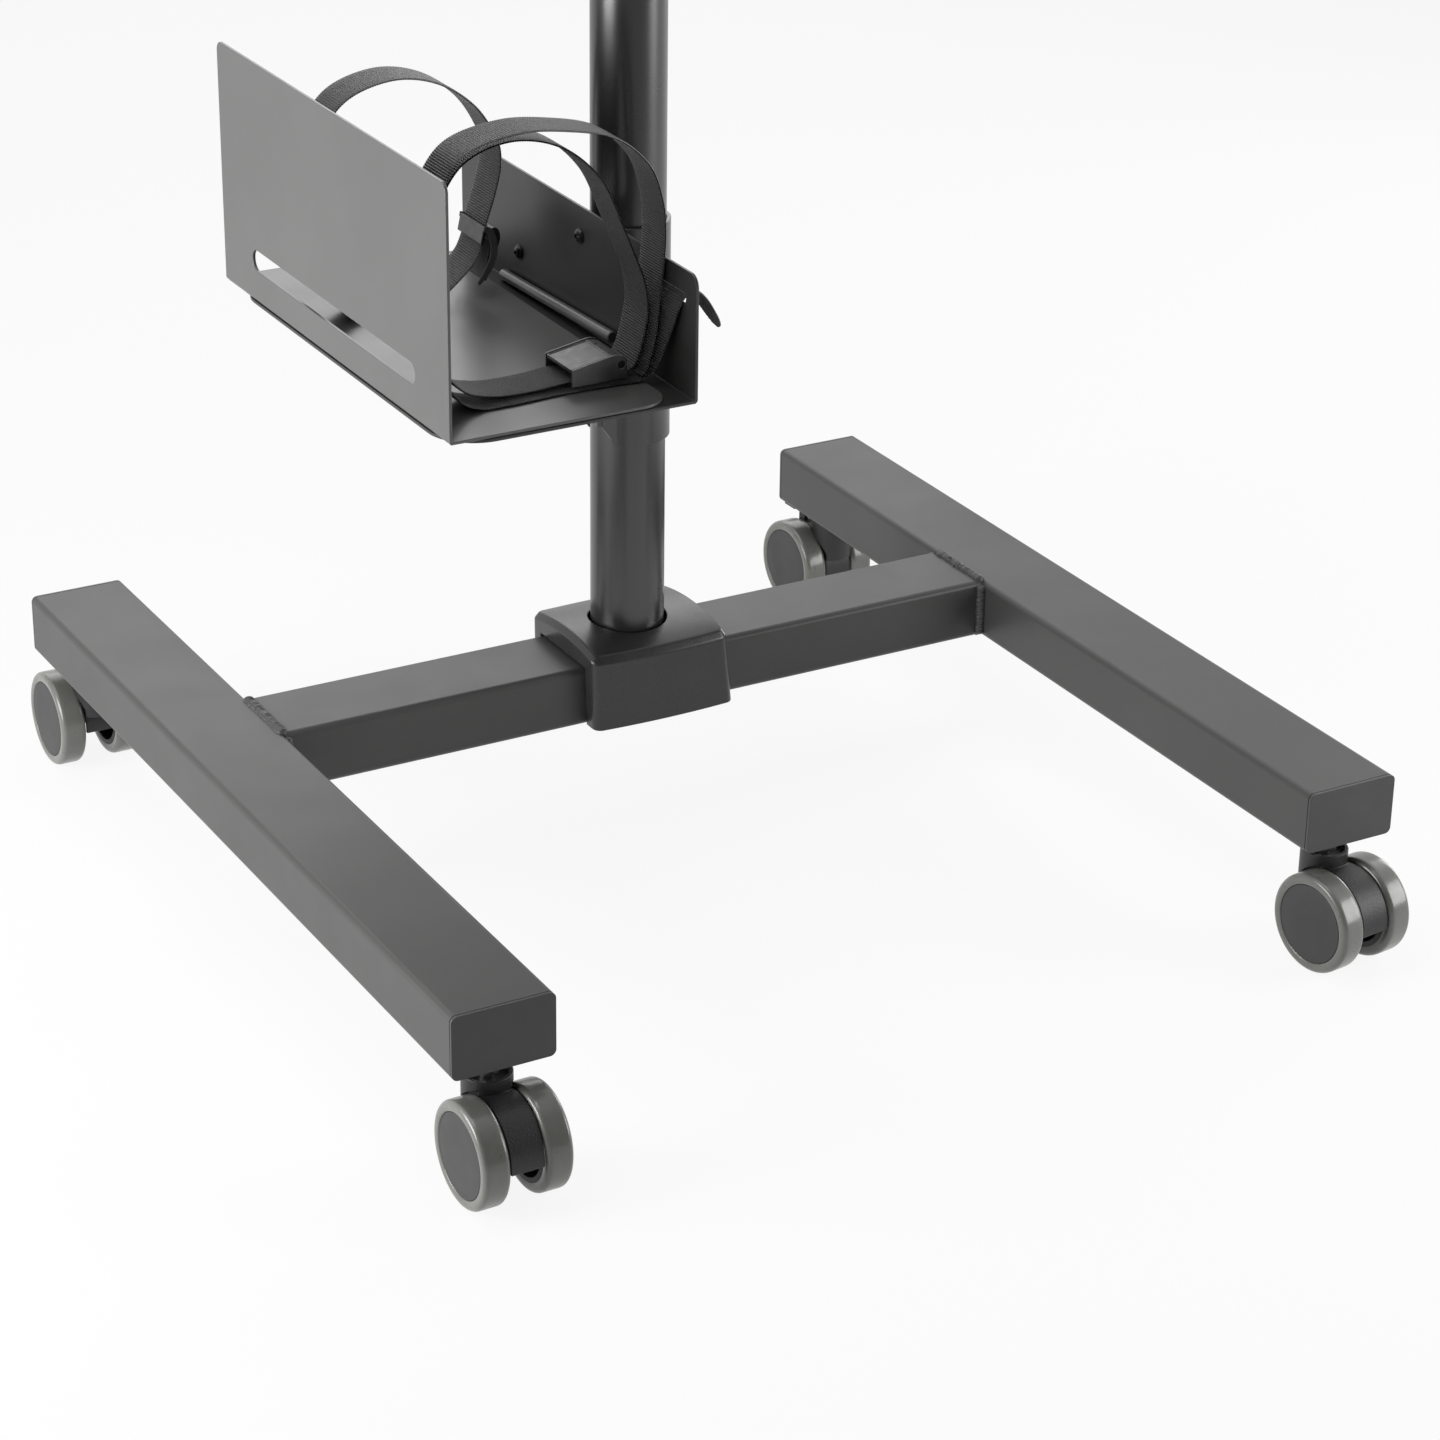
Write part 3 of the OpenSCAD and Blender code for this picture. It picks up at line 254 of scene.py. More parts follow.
finishes = {
    "frame_paint": powder_coat("frame_paint", low=66, high=71, rough=0.40, gloss=0.36),
    "column_paint": powder_coat("column_paint", low=32, high=36, rough=0.28, gloss=0.85),
    # The holder's paint is lighter than the frame's same powder coat, painted light on the left plate
    # and its lip; the next finish is a darker copy of it, painted shade on the right plate.
    "holder_paint": powder_coat("holder_paint", low=81, high=86, rough=0.33, gloss=0.8),
    "holder_shaded_paint": powder_coat("holder_shaded_paint", low=44, high=49, rough=0.36, gloss=0.55),
    "plain_steel": metal("plain_steel", low=120, high=150, rough=0.35, stretch=(1, 1, 8)),
    "zinc": metal("zinc", low=175, high=205, rough=0.28),
    "cap_plastic": moulded(
        "cap_plastic", low=62, high=67, rough=0.42, grain=1300, depth=0.0001, strength=0.2
    ),
    "cover_plastic": moulded(
        "cover_plastic", low=44, high=48, rough=0.27, grain=900, depth=0.00003, strength=0.08
    ),
    "caster_plastic": moulded(
        "caster_plastic", low=31, high=40, rough=0.44, grain=900, depth=0.00025, strength=0.55
    ),
    "hub_plastic": moulded(
        "hub_plastic", low=56, high=63, rough=0.55, grain=1100, depth=0.00012, strength=0.35
    ),
    "tread": tread_rubber(),
    "webbing": woven(),
    # Below, one black paint in four tones: the near buckle's cheeks and lever get lighter copies,
    # painted light, and the far lever a darker copy, painted shade.
    "buckle_paint": worn_black("buckle_paint", low=80, high=136, rough=0.33, worn=0.4),
    "near_cheek_lit_paint": worn_black("near_cheek_lit_paint", low=116, high=165, rough=0.33, worn=0.3),
    "near_lever_lit_paint": worn_black("near_lever_lit_paint", low=84, high=150, rough=0.30, worn=0.35),
    "far_lever_shaded_paint": worn_black("far_lever_shaded_paint", low=38, high=90, rough=0.35, worn=0.3),
    # Light tone on the buckles' top rims: painted highlight.
    "painted_rim_highlight": worn_black("painted_rim_highlight", low=140, high=215, rough=0.32, worn=0.4),
    # Dark paint of the black screws, also put on the buckle pins as painted shade in the cheeks'
    # holes.
    "black_screw": worn_black("black_screw", low=16, high=60, rough=0.30, worn=0.25),
}

slots = {
    "frame_paint": ["left_rail", "right_rail", "crossbar", "weld_beads"],
    "column_paint": [
        "column_tube", "clamp_plate", "clamp_strap", "head_collar", "tilt_knuckle", "monitor_plate",
    ],
    "holder_paint": ["holder_left_plate", "holder_right_plate", "strap_rod"],
    "plain_steel": ["caster_sockets", "column_foot_plug", "clamp_saddle"],
    "zinc": ["caster_stems", "column_foot_bolt", "tilt_bolt"],
    "cap_plastic": ["rail_end_caps", "column_top_cap"],
    "cover_plastic": ["column_cover", "collar_knob"],
    "caster_plastic": ["rear_left_brake_pedal", "rear_right_brake_pedal"],
    "hub_plastic": [],
    "tread": [],
    "webbing": ["near_strap", "near_strap_outer", "near_strap_tail", "far_strap"],
    "buckle_paint": [
        "near_buckle_frame", "near_buckle_lever", "far_buckle_frame", "far_buckle_lever",
    ],
    "black_screw": ["clamp_screws", "width_screws", "plate_screw"],
}
for corner in ("front_left", "front_right", "rear_left", "rear_right"):
    slots["caster_plastic"].append(corner + "_fork")
    slots["plain_steel"].append(corner + "_axle")
    for wheel in ("outer", "inner"):
        slots["hub_plastic"].append(f"{corner}_{wheel}_hub")
        slots["tread"].append(f"{corner}_{wheel}_tread")
slot_of = {name: slot for slot, names in slots.items() for name in names}

for name, node in nodes.items():
    node.data.materials.clear()
    node.data.materials.append(finishes[slot_of[name]])


# Building helpers

def stand_for(name, mesh, smooth, weighted=True, finish=None, extra=()):
    """Shows a mesh in place of a frame node, on the same body and in the same slot.

    Edges sharper than smooth degrees stay sharp. The look is the slot's own finish unless
    another is given, and extra finishes follow it for faces with a higher material index.
    """
    piece = bpy.data.objects.new(name + "_look", mesh)
    bpy.context.collection.objects.link(piece)
    if mesh.materials:
        mesh.materials.clear()
    for look in (finish or slot_of[name], *extra):
        mesh.materials.append(finishes[look])
    for face in mesh.polygons:
        face.use_smooth = True
    mesh.set_sharp_from_angle(angle=math.radians(smooth))
    if weighted:
        normals = piece.modifiers.new("normals", "WEIGHTED_NORMAL")
        normals.keep_sharp = True
        normals.weight = 80
    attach(piece, body_of(nodes[name])[0])
    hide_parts(name)
    return piece


def bevel_sharp(shape, width, steps, angle):
    """Rounds the edges sharper than angle by width millimetres."""
    hard = [e for e in shape.edges if e.is_manifold and e.calc_face_angle(0) > math.radians(angle)]
    bmesh.ops.bevel(
        shape, geom=hard, offset=width * MM, segments=steps, profile=0.5, affect="EDGES"
    )


def softened(name, width, steps=2, angle=38, finish=None):
    """A frame node's own shape with its hard edges rounded by width millimetres."""
    shape = bmesh.new()
    shape.from_mesh(nodes[name].data)
    bmesh.ops.remove_doubles(shape, verts=shape.verts, dist=2e-6)
    flat = math.radians(0.3)
    bmesh.ops.dissolve_limit(shape, angle_limit=flat, verts=shape.verts, edges=shape.edges)
    bevel_sharp(shape, width, steps, angle)
    mesh = bpy.data.meshes.new(name + "_look")
    shape.to_mesh(mesh)
    shape.free()
    return stand_for(name, mesh, smooth=50, finish=finish)


def mesh_from(name, points, faces):
    """Mesh from points in metres, with its faces turned outwards."""
    mesh = bpy.data.meshes.new(name)
    mesh.from_pydata([tuple(p) for p in points], [], faces)
    shape = bmesh.new()
    shape.from_mesh(mesh)
    bmesh.ops.recalc_face_normals(shape, faces=shape.faces)
    shape.to_mesh(mesh)
    shape.free()
    return mesh


def lathe(name, profile, place, steps=144):
    """Turns a closed outline of (radius, height) in millimetres about the local z axis."""
    points = []
    faces = []
    rings = []
    for radius, height in profile:
        if radius < 1e-6:
            rings.append([len(points)] * steps)
            points.append(place @ Vector((0, 0, height * MM)))
            continue
        rings.append(list(range(len(points), len(points) + steps)))
        for i in range(steps):
            turn = 2 * math.pi * i / steps
            at = (radius * math.cos(turn) * MM, radius * math.sin(turn) * MM, height * MM)
            points.append(place @ Vector(at))
    for k, ring in enumerate(rings):
        after = rings[(k + 1) % len(rings)]
        for i in range(steps):
            j = (i + 1) % steps
            loop = []
            for index in (ring[i], ring[j], after[j], after[i]):
                if index not in loop:
                    loop.append(index)
            if len(loop) > 2:
                faces.append(loop)
    return mesh_from(name, points, faces)


def arc(centre, radius, start, end, steps):
    """Points of an arc, angles in degrees."""
    return [
        (
            centre[0] + radius * math.cos(math.radians(start + (end - start) * i / steps)),
            centre[1] + radius * math.sin(math.radians(start + (end - start) * i / steps)),
        )
        for i in range(steps + 1)
    ]


# Places shared with the frame, in millimetres
COLUMN_Y = 97
HOLDER_Z = 426
RAIL_X = 360
STEM_Y = 372
TRAIL = 24
WHEEL_R = 40
WHEEL_IN = 14

# The fork's cup round the stem ends lower than the frame draws it, and the nut shows in it
CUP_FROM = 88
CUP_DROP = 6.5
NUT_LOW = 95
NUT_HIGH = 97
NUT_DROP = 9

# Casters: twin wheels, their bodies and the stems
tread_profile = (
    [(31.95, 0.3), (32.6, 0)]
    + arc((36, 4), 4, -90, 0, 6)
    + [(40.0, 7.5), (40.0, 10.5), (40.0, 13.5)]
    + arc((36, 17), 4, 0, 78, 6)
    + [(35.2, 20.95), (33.4, 20.85), (32.3, 20.55), (31.95, 20.1)]
)
hub_profile = [
    (4.1, 0), (9, 0), (9, 17.5), (28, 17.5), (28, 0), (31.9, 0), (31.9, 19.3), (31.75, 19.9),
    (31.3, 20.3), (30.6, 20.5), (30.1, 20.42), (29.6, 20.42), (29.1, 20.5), (20, 20.5), (0, 20.5),
    (0, 17.5), (4.1, 17.5),
]
# Each caster: its stem's place, its turn in degrees, and the side each wheel stands on
casters = {
    "front_left": (-RAIL_X, -STEM_Y, 1, {"outer": -1, "inner": 1}),
    "front_right": (RAIL_X, -STEM_Y, 7, {"outer": 1, "inner": -1}),
    "rear_left": (-RAIL_X, STEM_Y, 180, {"outer": 1, "inner": -1}),
    "rear_right": (RAIL_X, STEM_Y, 182, {"outer": -1, "inner": 1}),
}
for corner, (x, y, turn, sides) in casters.items():
    axle = (
        Matrix.Translation((x * MM, y * MM, 0))
        @ Matrix.Rotation(math.radians(turn), 4, "Z")
        @ Matrix.Translation((0, -TRAIL * MM, WHEEL_R * MM))
        @ Matrix.Rotation(math.radians(90), 4, "Y")
    )
    for wheel, side in sides.items():
        place = axle @ Matrix.Diagonal((1, 1, side, 1)) @ Matrix.Translation((0, 0, WHEEL_IN * MM))
        for part, profile in (("tread", tread_profile), ("hub", hub_profile)):
            name = f"{corner}_{wheel}_{part}"
            stand_for(name, lathe(name + "_look", profile, place), smooth=40, weighted=False)
    fork = softened(corner + "_fork", 0.7, 3)
    for vert in fork.data.vertices:
        if vert.co.z > CUP_FROM * MM:
            vert.co.z -= CUP_DROP * MM
for name in ("rear_left_brake_pedal", "rear_right_brake_pedal"):
    softened(name, 0.5)
stems = softened("caster_stems", 0.5)
for vert in stems.data.vertices:
    if NUT_LOW * MM < vert.co.z < NUT_HIGH * MM:
        vert.co.z -= NUT_DROP * MM


# Weld beads: overlapping ripples swept along each joint, in millimetres
random = np.random.default_rng(11)
BEAD_STEP = 0.55
BEAD_SIDES = 20
RIPPLE = 2.9
RIPPLE_LEAN = 1.3
RIPPLE_RISE = 0.75
SWELL = 0.45
DRIFT = 0.30
BAR_END = 319


def bead(points, faces, start, end, side, up, radius, sag):
    """Adds one bead from start to end, both in millimetres, its round back towards side and up."""
    start, end = np.array(start, float), np.array(end, float)
    length = np.linalg.norm(end - start)
    steps = int(length / BEAD_STEP)
    drift = np.convolve(random.normal(0, 1, steps + 9), np.ones(8) / 8, "same")
    swell = np.convolve(random.normal(0, 1, steps + 9), np.ones(6) / 6, "same")
    base = len(points)
    for i in range(steps + 1):
        share = i / steps
        taper = min(1, (share * (1 - share) * 4) ** 0.5 * 2.2 + 0.12)
        for k in range(BEAD_SIDES):
            turn = 2 * math.pi * k / BEAD_SIDES
            along = share * length - RIPPLE_LEAN * math.cos(turn - math.pi / 2)
            ripple = abs(math.sin(math.pi * along / (RIPPLE + 0.25 * drift[i])))
            reach = (radius + RIPPLE_RISE * ripple + SWELL * swell[i]) * taper
            aside = math.cos(turn) * reach + DRIFT * drift[i]
            raised = math.sin(turn) * reach * sag
            off = side * aside + up * raised
            points.append((start + (end - start) * share + off) * MM)
    for i in range(steps):
        for k in range(BEAD_SIDES):
            j = (k + 1) % BEAD_SIDES
            a, b = base + i * BEAD_SIDES, base + (i + 1) * BEAD_SIDES
            faces.append((a + k, a + j, b + j, b + k))
    faces.append(tuple(base + k for k in range(BEAD_SIDES)))
    faces.append(tuple(base + steps * BEAD_SIDES + k for k in range(BEAD_SIDES)))


axis_x = np.array([1.0, 0, 0])
axis_y = np.array([0, 1.0, 0])
axis_z = np.array([0, 0, 1.0])
weld_points = []
weld_faces = []
for side in (-1, 1):
    for level, z in ((1, 150.6), (-1, 105.4)):
        x = side * (BAR_END + 1.3)
        front = (x, COLUMN_Y - 36.5, z)
        back = (x, COLUMN_Y + 36.5, z)
        bead(weld_points, weld_faces, front, back, axis_x, level * axis_z, radius=4.3, sag=0.95)
    for face in (-1, 1):
        x = side * BAR_END
        y = COLUMN_Y + face * 39
        foot = (x, y, 104.5)
        head = (x, y, 149.5)
        bead(weld_points, weld_faces, foot, head, axis_x, axis_y, radius=4.0, sag=1.0)
weld_mesh = mesh_from("weld_beads_look", weld_points, weld_faces)
stand_for("weld_beads", weld_mesh, smooth=60, weighted=False)


# Cover round the column's foot: a thin shell with an arched top and open ends, in millimetres
COVER_LOW = 102.3
COVER_TOP = 173
SKIRT_TOP = 158
ARCH_R = 220
BAR_GAP = 38.8
HOLE_R = 32.2
LIP_IN = 3.8
LIP_DROP = 5.0
LIP_CORNER = 4.2
CORNER = 7.5
BOW = 2.2
WALL = 3
CORNER_STEPS = 7
SIDE_YS = (-43, -BAR_GAP, -32, -24, -16, -8, 0, 8, 16, 24, 32, BAR_GAP, 43)
FACE_STEPS = len(SIDE_YS) + 1
TOP_RINGS = 6


def arch(y):
    """Height of the cover's top at this distance before or behind the column."""
    return COVER_TOP - ARCH_R + math.sqrt(ARCH_R * ARCH_R - y * y)


def cover_ring(inset, level, corner):
    """Plan outline of the cover, at level 0 under its top to level 1 at its foot."""
    # Each side's place at level 0, and how far it spreads by level 1
    left = -59.5 + 1.5 * level + inset
    right = 64.5 + 5.0 * level - inset
    deep = 55.3 + 1.2 * level - inset
    outline = []
    for side, face, start in ((1, -1, -90), (1, 1, 0), (-1, 1, 90), (-1, -1, 180)):
        middle = right - corner if side > 0 else left + corner
        centre = (middle, face * (deep - corner))
        outline += arc(centre, corner, start, start + 90, CORNER_STEPS)
        if side * face < 0:
            x = right if side > 0 else left
            outline += [(x, -face * y) for y in SIDE_YS]
            continue
        for k in range(1, FACE_STEPS):
            share = k / FACE_STEPS if face < 0 else 1 - k / FACE_STEPS
            x = left + corner + (right - left - 2 * corner) * share
            outline.append((x, face * (deep + BOW * 4 * share * (1 - share))))
    return outline


def cover_mesh():
    """Skin of the cover: rings from the column's hole over the lip and down the skirt."""
    points = []
    rings = []

    def add(outline, height):
        rings.append(list(range(len(points), len(points) + len(outline))))
        for p in outline:
            points.append(Vector((p[0] * MM, (COLUMN_Y + p[1]) * MM, height(p) * MM)))

    rim = cover_ring(LIP_IN, 0, LIP_CORNER)
    for k in range(TOP_RINGS + 1):
        share = k / TOP_RINGS
        ring = []
        for p in rim:
            length = math.hypot(*p)
            hole = (p[0] / length * HOLE_R, p[1] / length * HOLE_R)
            ring.append((hole[0] + (p[0] - hole[0]) * share, hole[1] + (p[1] - hole[1]) * share))
        add(ring, lambda p: arch(p[1]))
    lip = cover_ring(0, 0, CORNER)
    add(lip, lambda p: arch(p[1]) - LIP_DROP)
    skirt_start = len(rings)
    for z in (152.6, 140, 127, 114, COVER_LOW):
        add(cover_ring(0, (SKIRT_TOP - z) / (SKIRT_TOP - COVER_LOW), CORNER), lambda p: z)
    sides = (min(p[0] for p in lip), max(p[0] for p in lip))
    open_side = {i for i, p in enumerate(lip) if abs(p[1]) < BAR_GAP + 0.1 and p[0] in sides}
    faces = []
    count = len(rim)
    for k in range(len(rings) - 1):
        for i in range(count):
            j = (i + 1) % count
            if k >= skirt_start and i in open_side and j in open_side:
                continue
            faces.append((rings[k][i], rings[k][j], rings[k + 1][j], rings[k + 1][i]))
    mesh = bpy.data.meshes.new("column_cover_look")
    mesh.from_pydata([tuple(p) for p in points], [], faces)
    shape = bmesh.new()
    shape.from_mesh(mesh)
    loose = [v for v in shape.verts if not v.link_faces]
    bmesh.ops.delete(shape, geom=loose, context="VERTS")
    bmesh.ops.recalc_face_normals(shape, faces=shape.faces)
    top = max(shape.faces, key=lambda f: f.calc_center_median().z)
    if top.normal.z < 0:
        bmesh.ops.reverse_faces(shape, faces=shape.faces)
    shape.to_mesh(mesh)
    shape.free()
    return mesh


cover = stand_for("column_cover", cover_mesh(), smooth=70, weighted=False)
wall = cover.modifiers.new("wall", "SOLIDIFY")
wall.thickness = WALL * MM
wall.offset = -1
wall.use_even_offset = True
edge = cover.modifiers.new("edge", "BEVEL")
edge.width = 1.3 * MM
edge.segments = 4
edge.limit_method = "ANGLE"
edge.angle_limit = math.radians(28)
edge.use_clamp_overlap = True
normals = cover.modifiers.new("normals", "WEIGHTED_NORMAL")
normals.keep_sharp = False


# Sheet metal, screws, rod, clamp and head: the frame's shapes with rounded edges
softened("holder_left_plate", 0.5, 3)
# The right plate takes a darker copy of the holder's paint: painted shade on its inner wall.
softened("holder_right_plate", 0.5, 3, finish="holder_shaded_paint")
rod_end = (-47 * MM, (COLUMN_Y + 125) * MM, (HOLDER_Z + 7.2) * MM)
rod_base = Matrix.Translation(rod_end) @ Matrix.Rotation(math.radians(88), 4, "X")
rod_profile = [
    (0, 0), (3.8, 0), (4.5, 0.7), (4.5, 60), (4.5, 125), (4.5, 187.3), (3.8, 188), (0, 188),
]
rod_mesh = lathe("strap_rod_look", rod_profile, rod_base, steps=64)
stand_for("strap_rod", rod_mesh, smooth=40, weighted=False)
softened("clamp_plate", 0.6)
softened("clamp_strap", 0.6, 3)
softened("clamp_saddle", 0.5)
softened("clamp_screws", 0.25)
softened("width_screws", 0.4)
softened("rail_end_caps", 0.35, angle=25)
softened("column_top_cap", 1.0, 3)
softened("head_collar", 1.0, 3)
softened("collar_knob", 1.2, 3)
softened("tilt_knuckle", 0.8, 3)
softened("tilt_bolt", 0.5)
softened("monitor_plate", 0.5, 3)
softened("plate_screw", 0.2)


# Webbing: ribbed strips along routes of (x, z) or (x, z, y) in millimetres, from the column's axis
# and the holder's underside
STRAP_W = 38
STRAP_T = 1.8
RIB_LOW = 0.56
RIB_RISE = 0.44
RIB_STEPS = 6
TWIST_RUN = 60
NEAR_Y = -110
FAR_Y = 100
NEAR_AT = (-93, 11.2)
near_route = [
    (-232, 120), (-231, 80), (-224, 42), (-206, 19), (-184, 11), (-162, 9.2), (-140, 9.6),
    (-124, 11), (-114, 11.2), (-93, 11.2), (-73, 11.2), (-65, 14), (-59.5, 23), (-54, 42),
    (-51.5, 60), (-55, 82), (-62, 100), (-72, 124), (-91, 165), (-124, 194), (-165, 204),
    (-204, 192), (-226, 158),
]
outer_route = [
    (-64, 10.9), (-59.3, 15), (-56, 24), (-51.3, 42), (-48.9, 60), (-46.5, 82), (-44.4, 100),
    (-43.4, 121), (-46, 146), (-57, 174), (-84, 198), (-122, 209), (-165, 213), (-209, 202),
    (-232, 168), (-237.5, 124), (-237, 82), (-230, 41), (-214, 16), (-197, 7.4), (-182, 6.5),
    (-173, 6.5),
]
tail_route = [
    (-172.7, 6.5, -122), (-158, 6.5, -121), (-135, 6.5, -119), (-110, 6.5, -119),
    (-84, 6.5, -120), (-69, 6.6, -122), (-58.5, 10.5, -125), (-53, 22, -130), (-49.1, 40, -136),
    (-46.8, 56, -142), (-45.6, 67, -146), (-41.25, 77.2, -148), (-35, 80.5, -148),
    (-28, 79.5, -148), (-20.5, 72, -148), (-14, 62, -148), (-8.5, 52.5, -148), (-4, 44, -148),
]
FAR_TILT = 78
FAR_AT = (-88, 43)
lean = (math.cos(math.radians(FAR_TILT)), math.sin(math.radians(FAR_TILT)))
far_route = (
    [(-232, 110), (-230, 72), (-221, 38), (-206, 18), (-188, 9), (-168, 6.7), (-150, 6.6)]
    + [(-134, 8.2), (-122, 13), (-112, 20.4), (-103, 28), (-96, 34.5), (-90.5, 42)]
    + [(FAR_AT[0] + s * lean[0], FAR_AT[1] + s * lean[1]) for s in (12, 20, 28)]
    + [(-78, 82), (-73, 98), (-69.5, 116), (-73, 136), (-92, 165), (-124, 187)]
    + [(-162, 194), (-202, 182), (-225, 150)]
)


def smooth_line(route, closed, steps=24):
    """Smooth curve through the route's points, as the frame draws it."""
    route = np.array(route, float)
    count = len(route)
    line = []
    for i in range(count if closed else count - 1):
        if closed:
            p0, p1, p2, p3 = (route[(i + k) % count] for k in (-1, 0, 1, 2))
        else:
            p0, p1, p2, p3 = (route[min(max(i + k, 0), count - 1)] for k in (-1, 0, 1, 2))
        for k in range(steps):
            t = k / steps
            straight = (p2 - p0) * t
            bend = (2 * p0 - 5 * p1 + 4 * p2 - p3) * t * t
            swing = (3 * p1 - p0 - 3 * p2 + p3) * t ** 3
            line.append(0.5 * (2 * p1 + straight + bend + swing))
    line.append(route[0] if closed else route[-1])
    return np.array(line)


def strap_section():
    """Outline across a strip: place across it in millimetres, share of half its thickness."""
    half = STRAP_W / 2
    round_end = [(half, 0.0), (half - 0.5, 0.72), (half - 1.2, 0.94), (12, 1.0), (6, 0.96)]
    upper = round_end + [(0, 0.96)] + [(-w, t) for w, t in reversed(round_end)]
    return upper + [(w, -t) for w, t in upper[-2:0:-1]]


def map_strip(mesh, section, along, length, closed):
    """Gives a strip its flat coordinates in metres, across its width and along its length."""
    ring = len(section)
    count = len(along)
    layer = mesh.uv_layers.new(name="strip")
    for face in mesh.polygons:
        stations = [mesh.loops[k].vertex_index // ring for k in face.loop_indices]
        wraps = closed and max(stations) - min(stations) > count / 2
        for k, station in zip(face.loop_indices, stations):
            place = length if wraps and station < count / 2 else along[station]
            layer.data[k].uv = (section[mesh.loops[k].vertex_index % ring][0] * MM, place * MM)


def strap(name, route, y, closed, tongue=0.0, twist=0.0):
    """A strip of webbing with ribs across it and rounded selvages; returns its piece and length.

    An open strip may end in a round tongue of this radius, and twist by some degrees over its
    last stretch.
    """
    route = [tuple(p) if len(p) == 3 else (p[0], p[1], y) for p in route]
    line = smooth_line(route, closed)
    walk = np.concatenate([[0], np.cumsum(np.linalg.norm(np.diff(line[:, :2], axis=0), axis=1))])
    length = walk[-1]
    ribs = round(length / RIB)
    along = np.linspace(0, length, ribs * RIB_STEPS + 1)
    if closed:
        along = along[:-1]
    centre = np.stack([np.interp(along, walk, line[:, k]) for k in range(3)], axis=1)
    if closed:
        ahead = np.roll(centre, -1, 0)
        behind = np.roll(centre, 1, 0)
    else:
        ahead = np.vstack([centre[1:], centre[-1:]])
        behind = np.vstack([centre[:1], centre[:-1]])
    tangent = (ahead - behind)[:, :2]
    tangent /= np.linalg.norm(tangent, axis=1)[:, None]
    normal = np.stack([-tangent[:, 1], tangent[:, 0]], axis=1)
    section = strap_section()
    phase = along / length * ribs
    rib = RIB_LOW + RIB_RISE * np.abs(np.sin(np.pi * phase))
    points = []
    for i in range(len(centre)):
        left = length - along[i]
        narrow = math.sqrt(max(1 - (1 - left / tongue) ** 2, 0.004)) if left < tongue else 1.0
        turn = math.radians(twist) * max(0.0, 1 - left / TWIST_RUN)
        for w, t in section:
            flat = w * narrow
            lift = t * STRAP_T / 2 * rib[i]
            off = lift * math.cos(turn) + flat * math.sin(turn)
            points.append(
                (
                    (centre[i][0] + normal[i][0] * off) * MM,
                    (COLUMN_Y + centre[i][2] + flat * math.cos(turn) - lift * math.sin(turn)) * MM,
                    (HOLDER_Z + centre[i][1] + normal[i][1] * off) * MM,
                )
            )
    ring = len(section)
    count = len(centre)
    faces = []
    for i in range(count if closed else count - 1):
        a, b = i * ring, (i + 1) % count * ring
        for k in range(ring):
            j = (k + 1) % ring
            faces.append((a + k, a + j, b + j, b + k))
    if not closed:
        faces.append(tuple(range(ring)))
        faces.append(tuple((count - 1) * ring + k for k in range(ring)))
    mesh = mesh_from(name + "_look", points, faces)
    map_strip(mesh, section, along, length, closed)
    return stand_for(name, mesh, smooth=70, weighted=False), length * MM


straps = {
    "near_strap": strap("near_strap", near_route, NEAR_Y, closed=True),
    "near_strap_outer": strap("near_strap_outer", outer_route, NEAR_Y - 12, closed=False),
    "near_strap_tail": strap(
        "near_strap_tail", tail_route, NEAR_Y - 9, closed=False, tongue=19, twist=6
    ),
    "far_strap": strap("far_strap", far_route, FAR_Y, closed=True),
}


# Cam buckles, drawn as (x, z) outlines in millimetres about the webbing's middle
PIN = (17, 8)
PIN_R = 2.5
PIN_START = 19.6
PIN_END = 21.0
CHEEK_IN = 20.9
CHEEK_OUT = 22.4
BASE_LOW = -3.4
BASE_HIGH = -2.0
LEVER_HALF = 19.7
NOSE_R = 6.2
RIM_W = 1.1
RIM_STEP = 0.35
PAN_DEPTH = 0.7


def buckle_place(at, y):
    """Matrix of a buckle's middle from its (x, z) place and its distance behind the column."""
    return Matrix.Translation((at[0] * MM, (COLUMN_Y + y) * MM, (HOLDER_Z + at[1]) * MM))


near_place = buckle_place(NEAR_AT, NEAR_Y)
far_place = (
    buckle_place(FAR_AT, FAR_Y)
    @ Matrix.Rotation(math.radians(-FAR_TILT), 4, "Y")
    @ Matrix.Rotation(math.radians(180), 4, "X")
)


def prism(shape, outline, low, high):
    """Adds a plate with this (x, z) outline between two y planes, in millimetres."""
    near = [shape.verts.new((p[0] * MM, low * MM, p[1] * MM)) for p in outline]
    far = [shape.verts.new((p[0] * MM, high * MM, p[1] * MM)) for p in outline]
    shape.faces.new(near)
    shape.faces.new(far)
    for i in range(len(outline)):
        j = (i + 1) % len(outline)
        shape.faces.new((near[i], near[j], far[j], far[i]))


def rounded(shape, width, steps=2):
    """Turns the faces outwards and rounds the hard edges by width millimetres."""
    bmesh.ops.recalc_face_normals(shape, faces=shape.faces)
    bevel_sharp(shape, width, steps, angle=30)


def pin_ring(shape, radius, y, steps):
    """Adds a ring of corners about the lever's pin at this y, in millimetres."""
    ring = []
    for k in range(steps):
        turn = 2 * math.pi * k / steps
        x = (PIN[0] + radius * math.cos(turn)) * MM
        z = (PIN[1] + radius * math.sin(turn)) * MM
        ring.append(shape.verts.new((x, y * MM, z)))
    return ring


def pin_stub(shape, low, high, steps=36):
    """Adds a length of the pin along y between two planes."""
    near = pin_ring(shape, PIN_R, low, steps)
    far = pin_ring(shape, PIN_R, high, steps)
    for k in range(steps):
        j = (k + 1) % steps
        shape.faces.new((near[k], near[j], far[j], far[k]))
    shape.faces.new(near)
    shape.faces.new(far)


def placed_mesh(name, shape, place):
    """Turns the building mesh's faces outwards and puts it in its place."""
    bmesh.ops.recalc_face_normals(shape, faces=shape.faces)
    shape.transform(place)
    mesh = bpy.data.meshes.new(name + "_look")
    shape.to_mesh(mesh)
    shape.free()
    return mesh


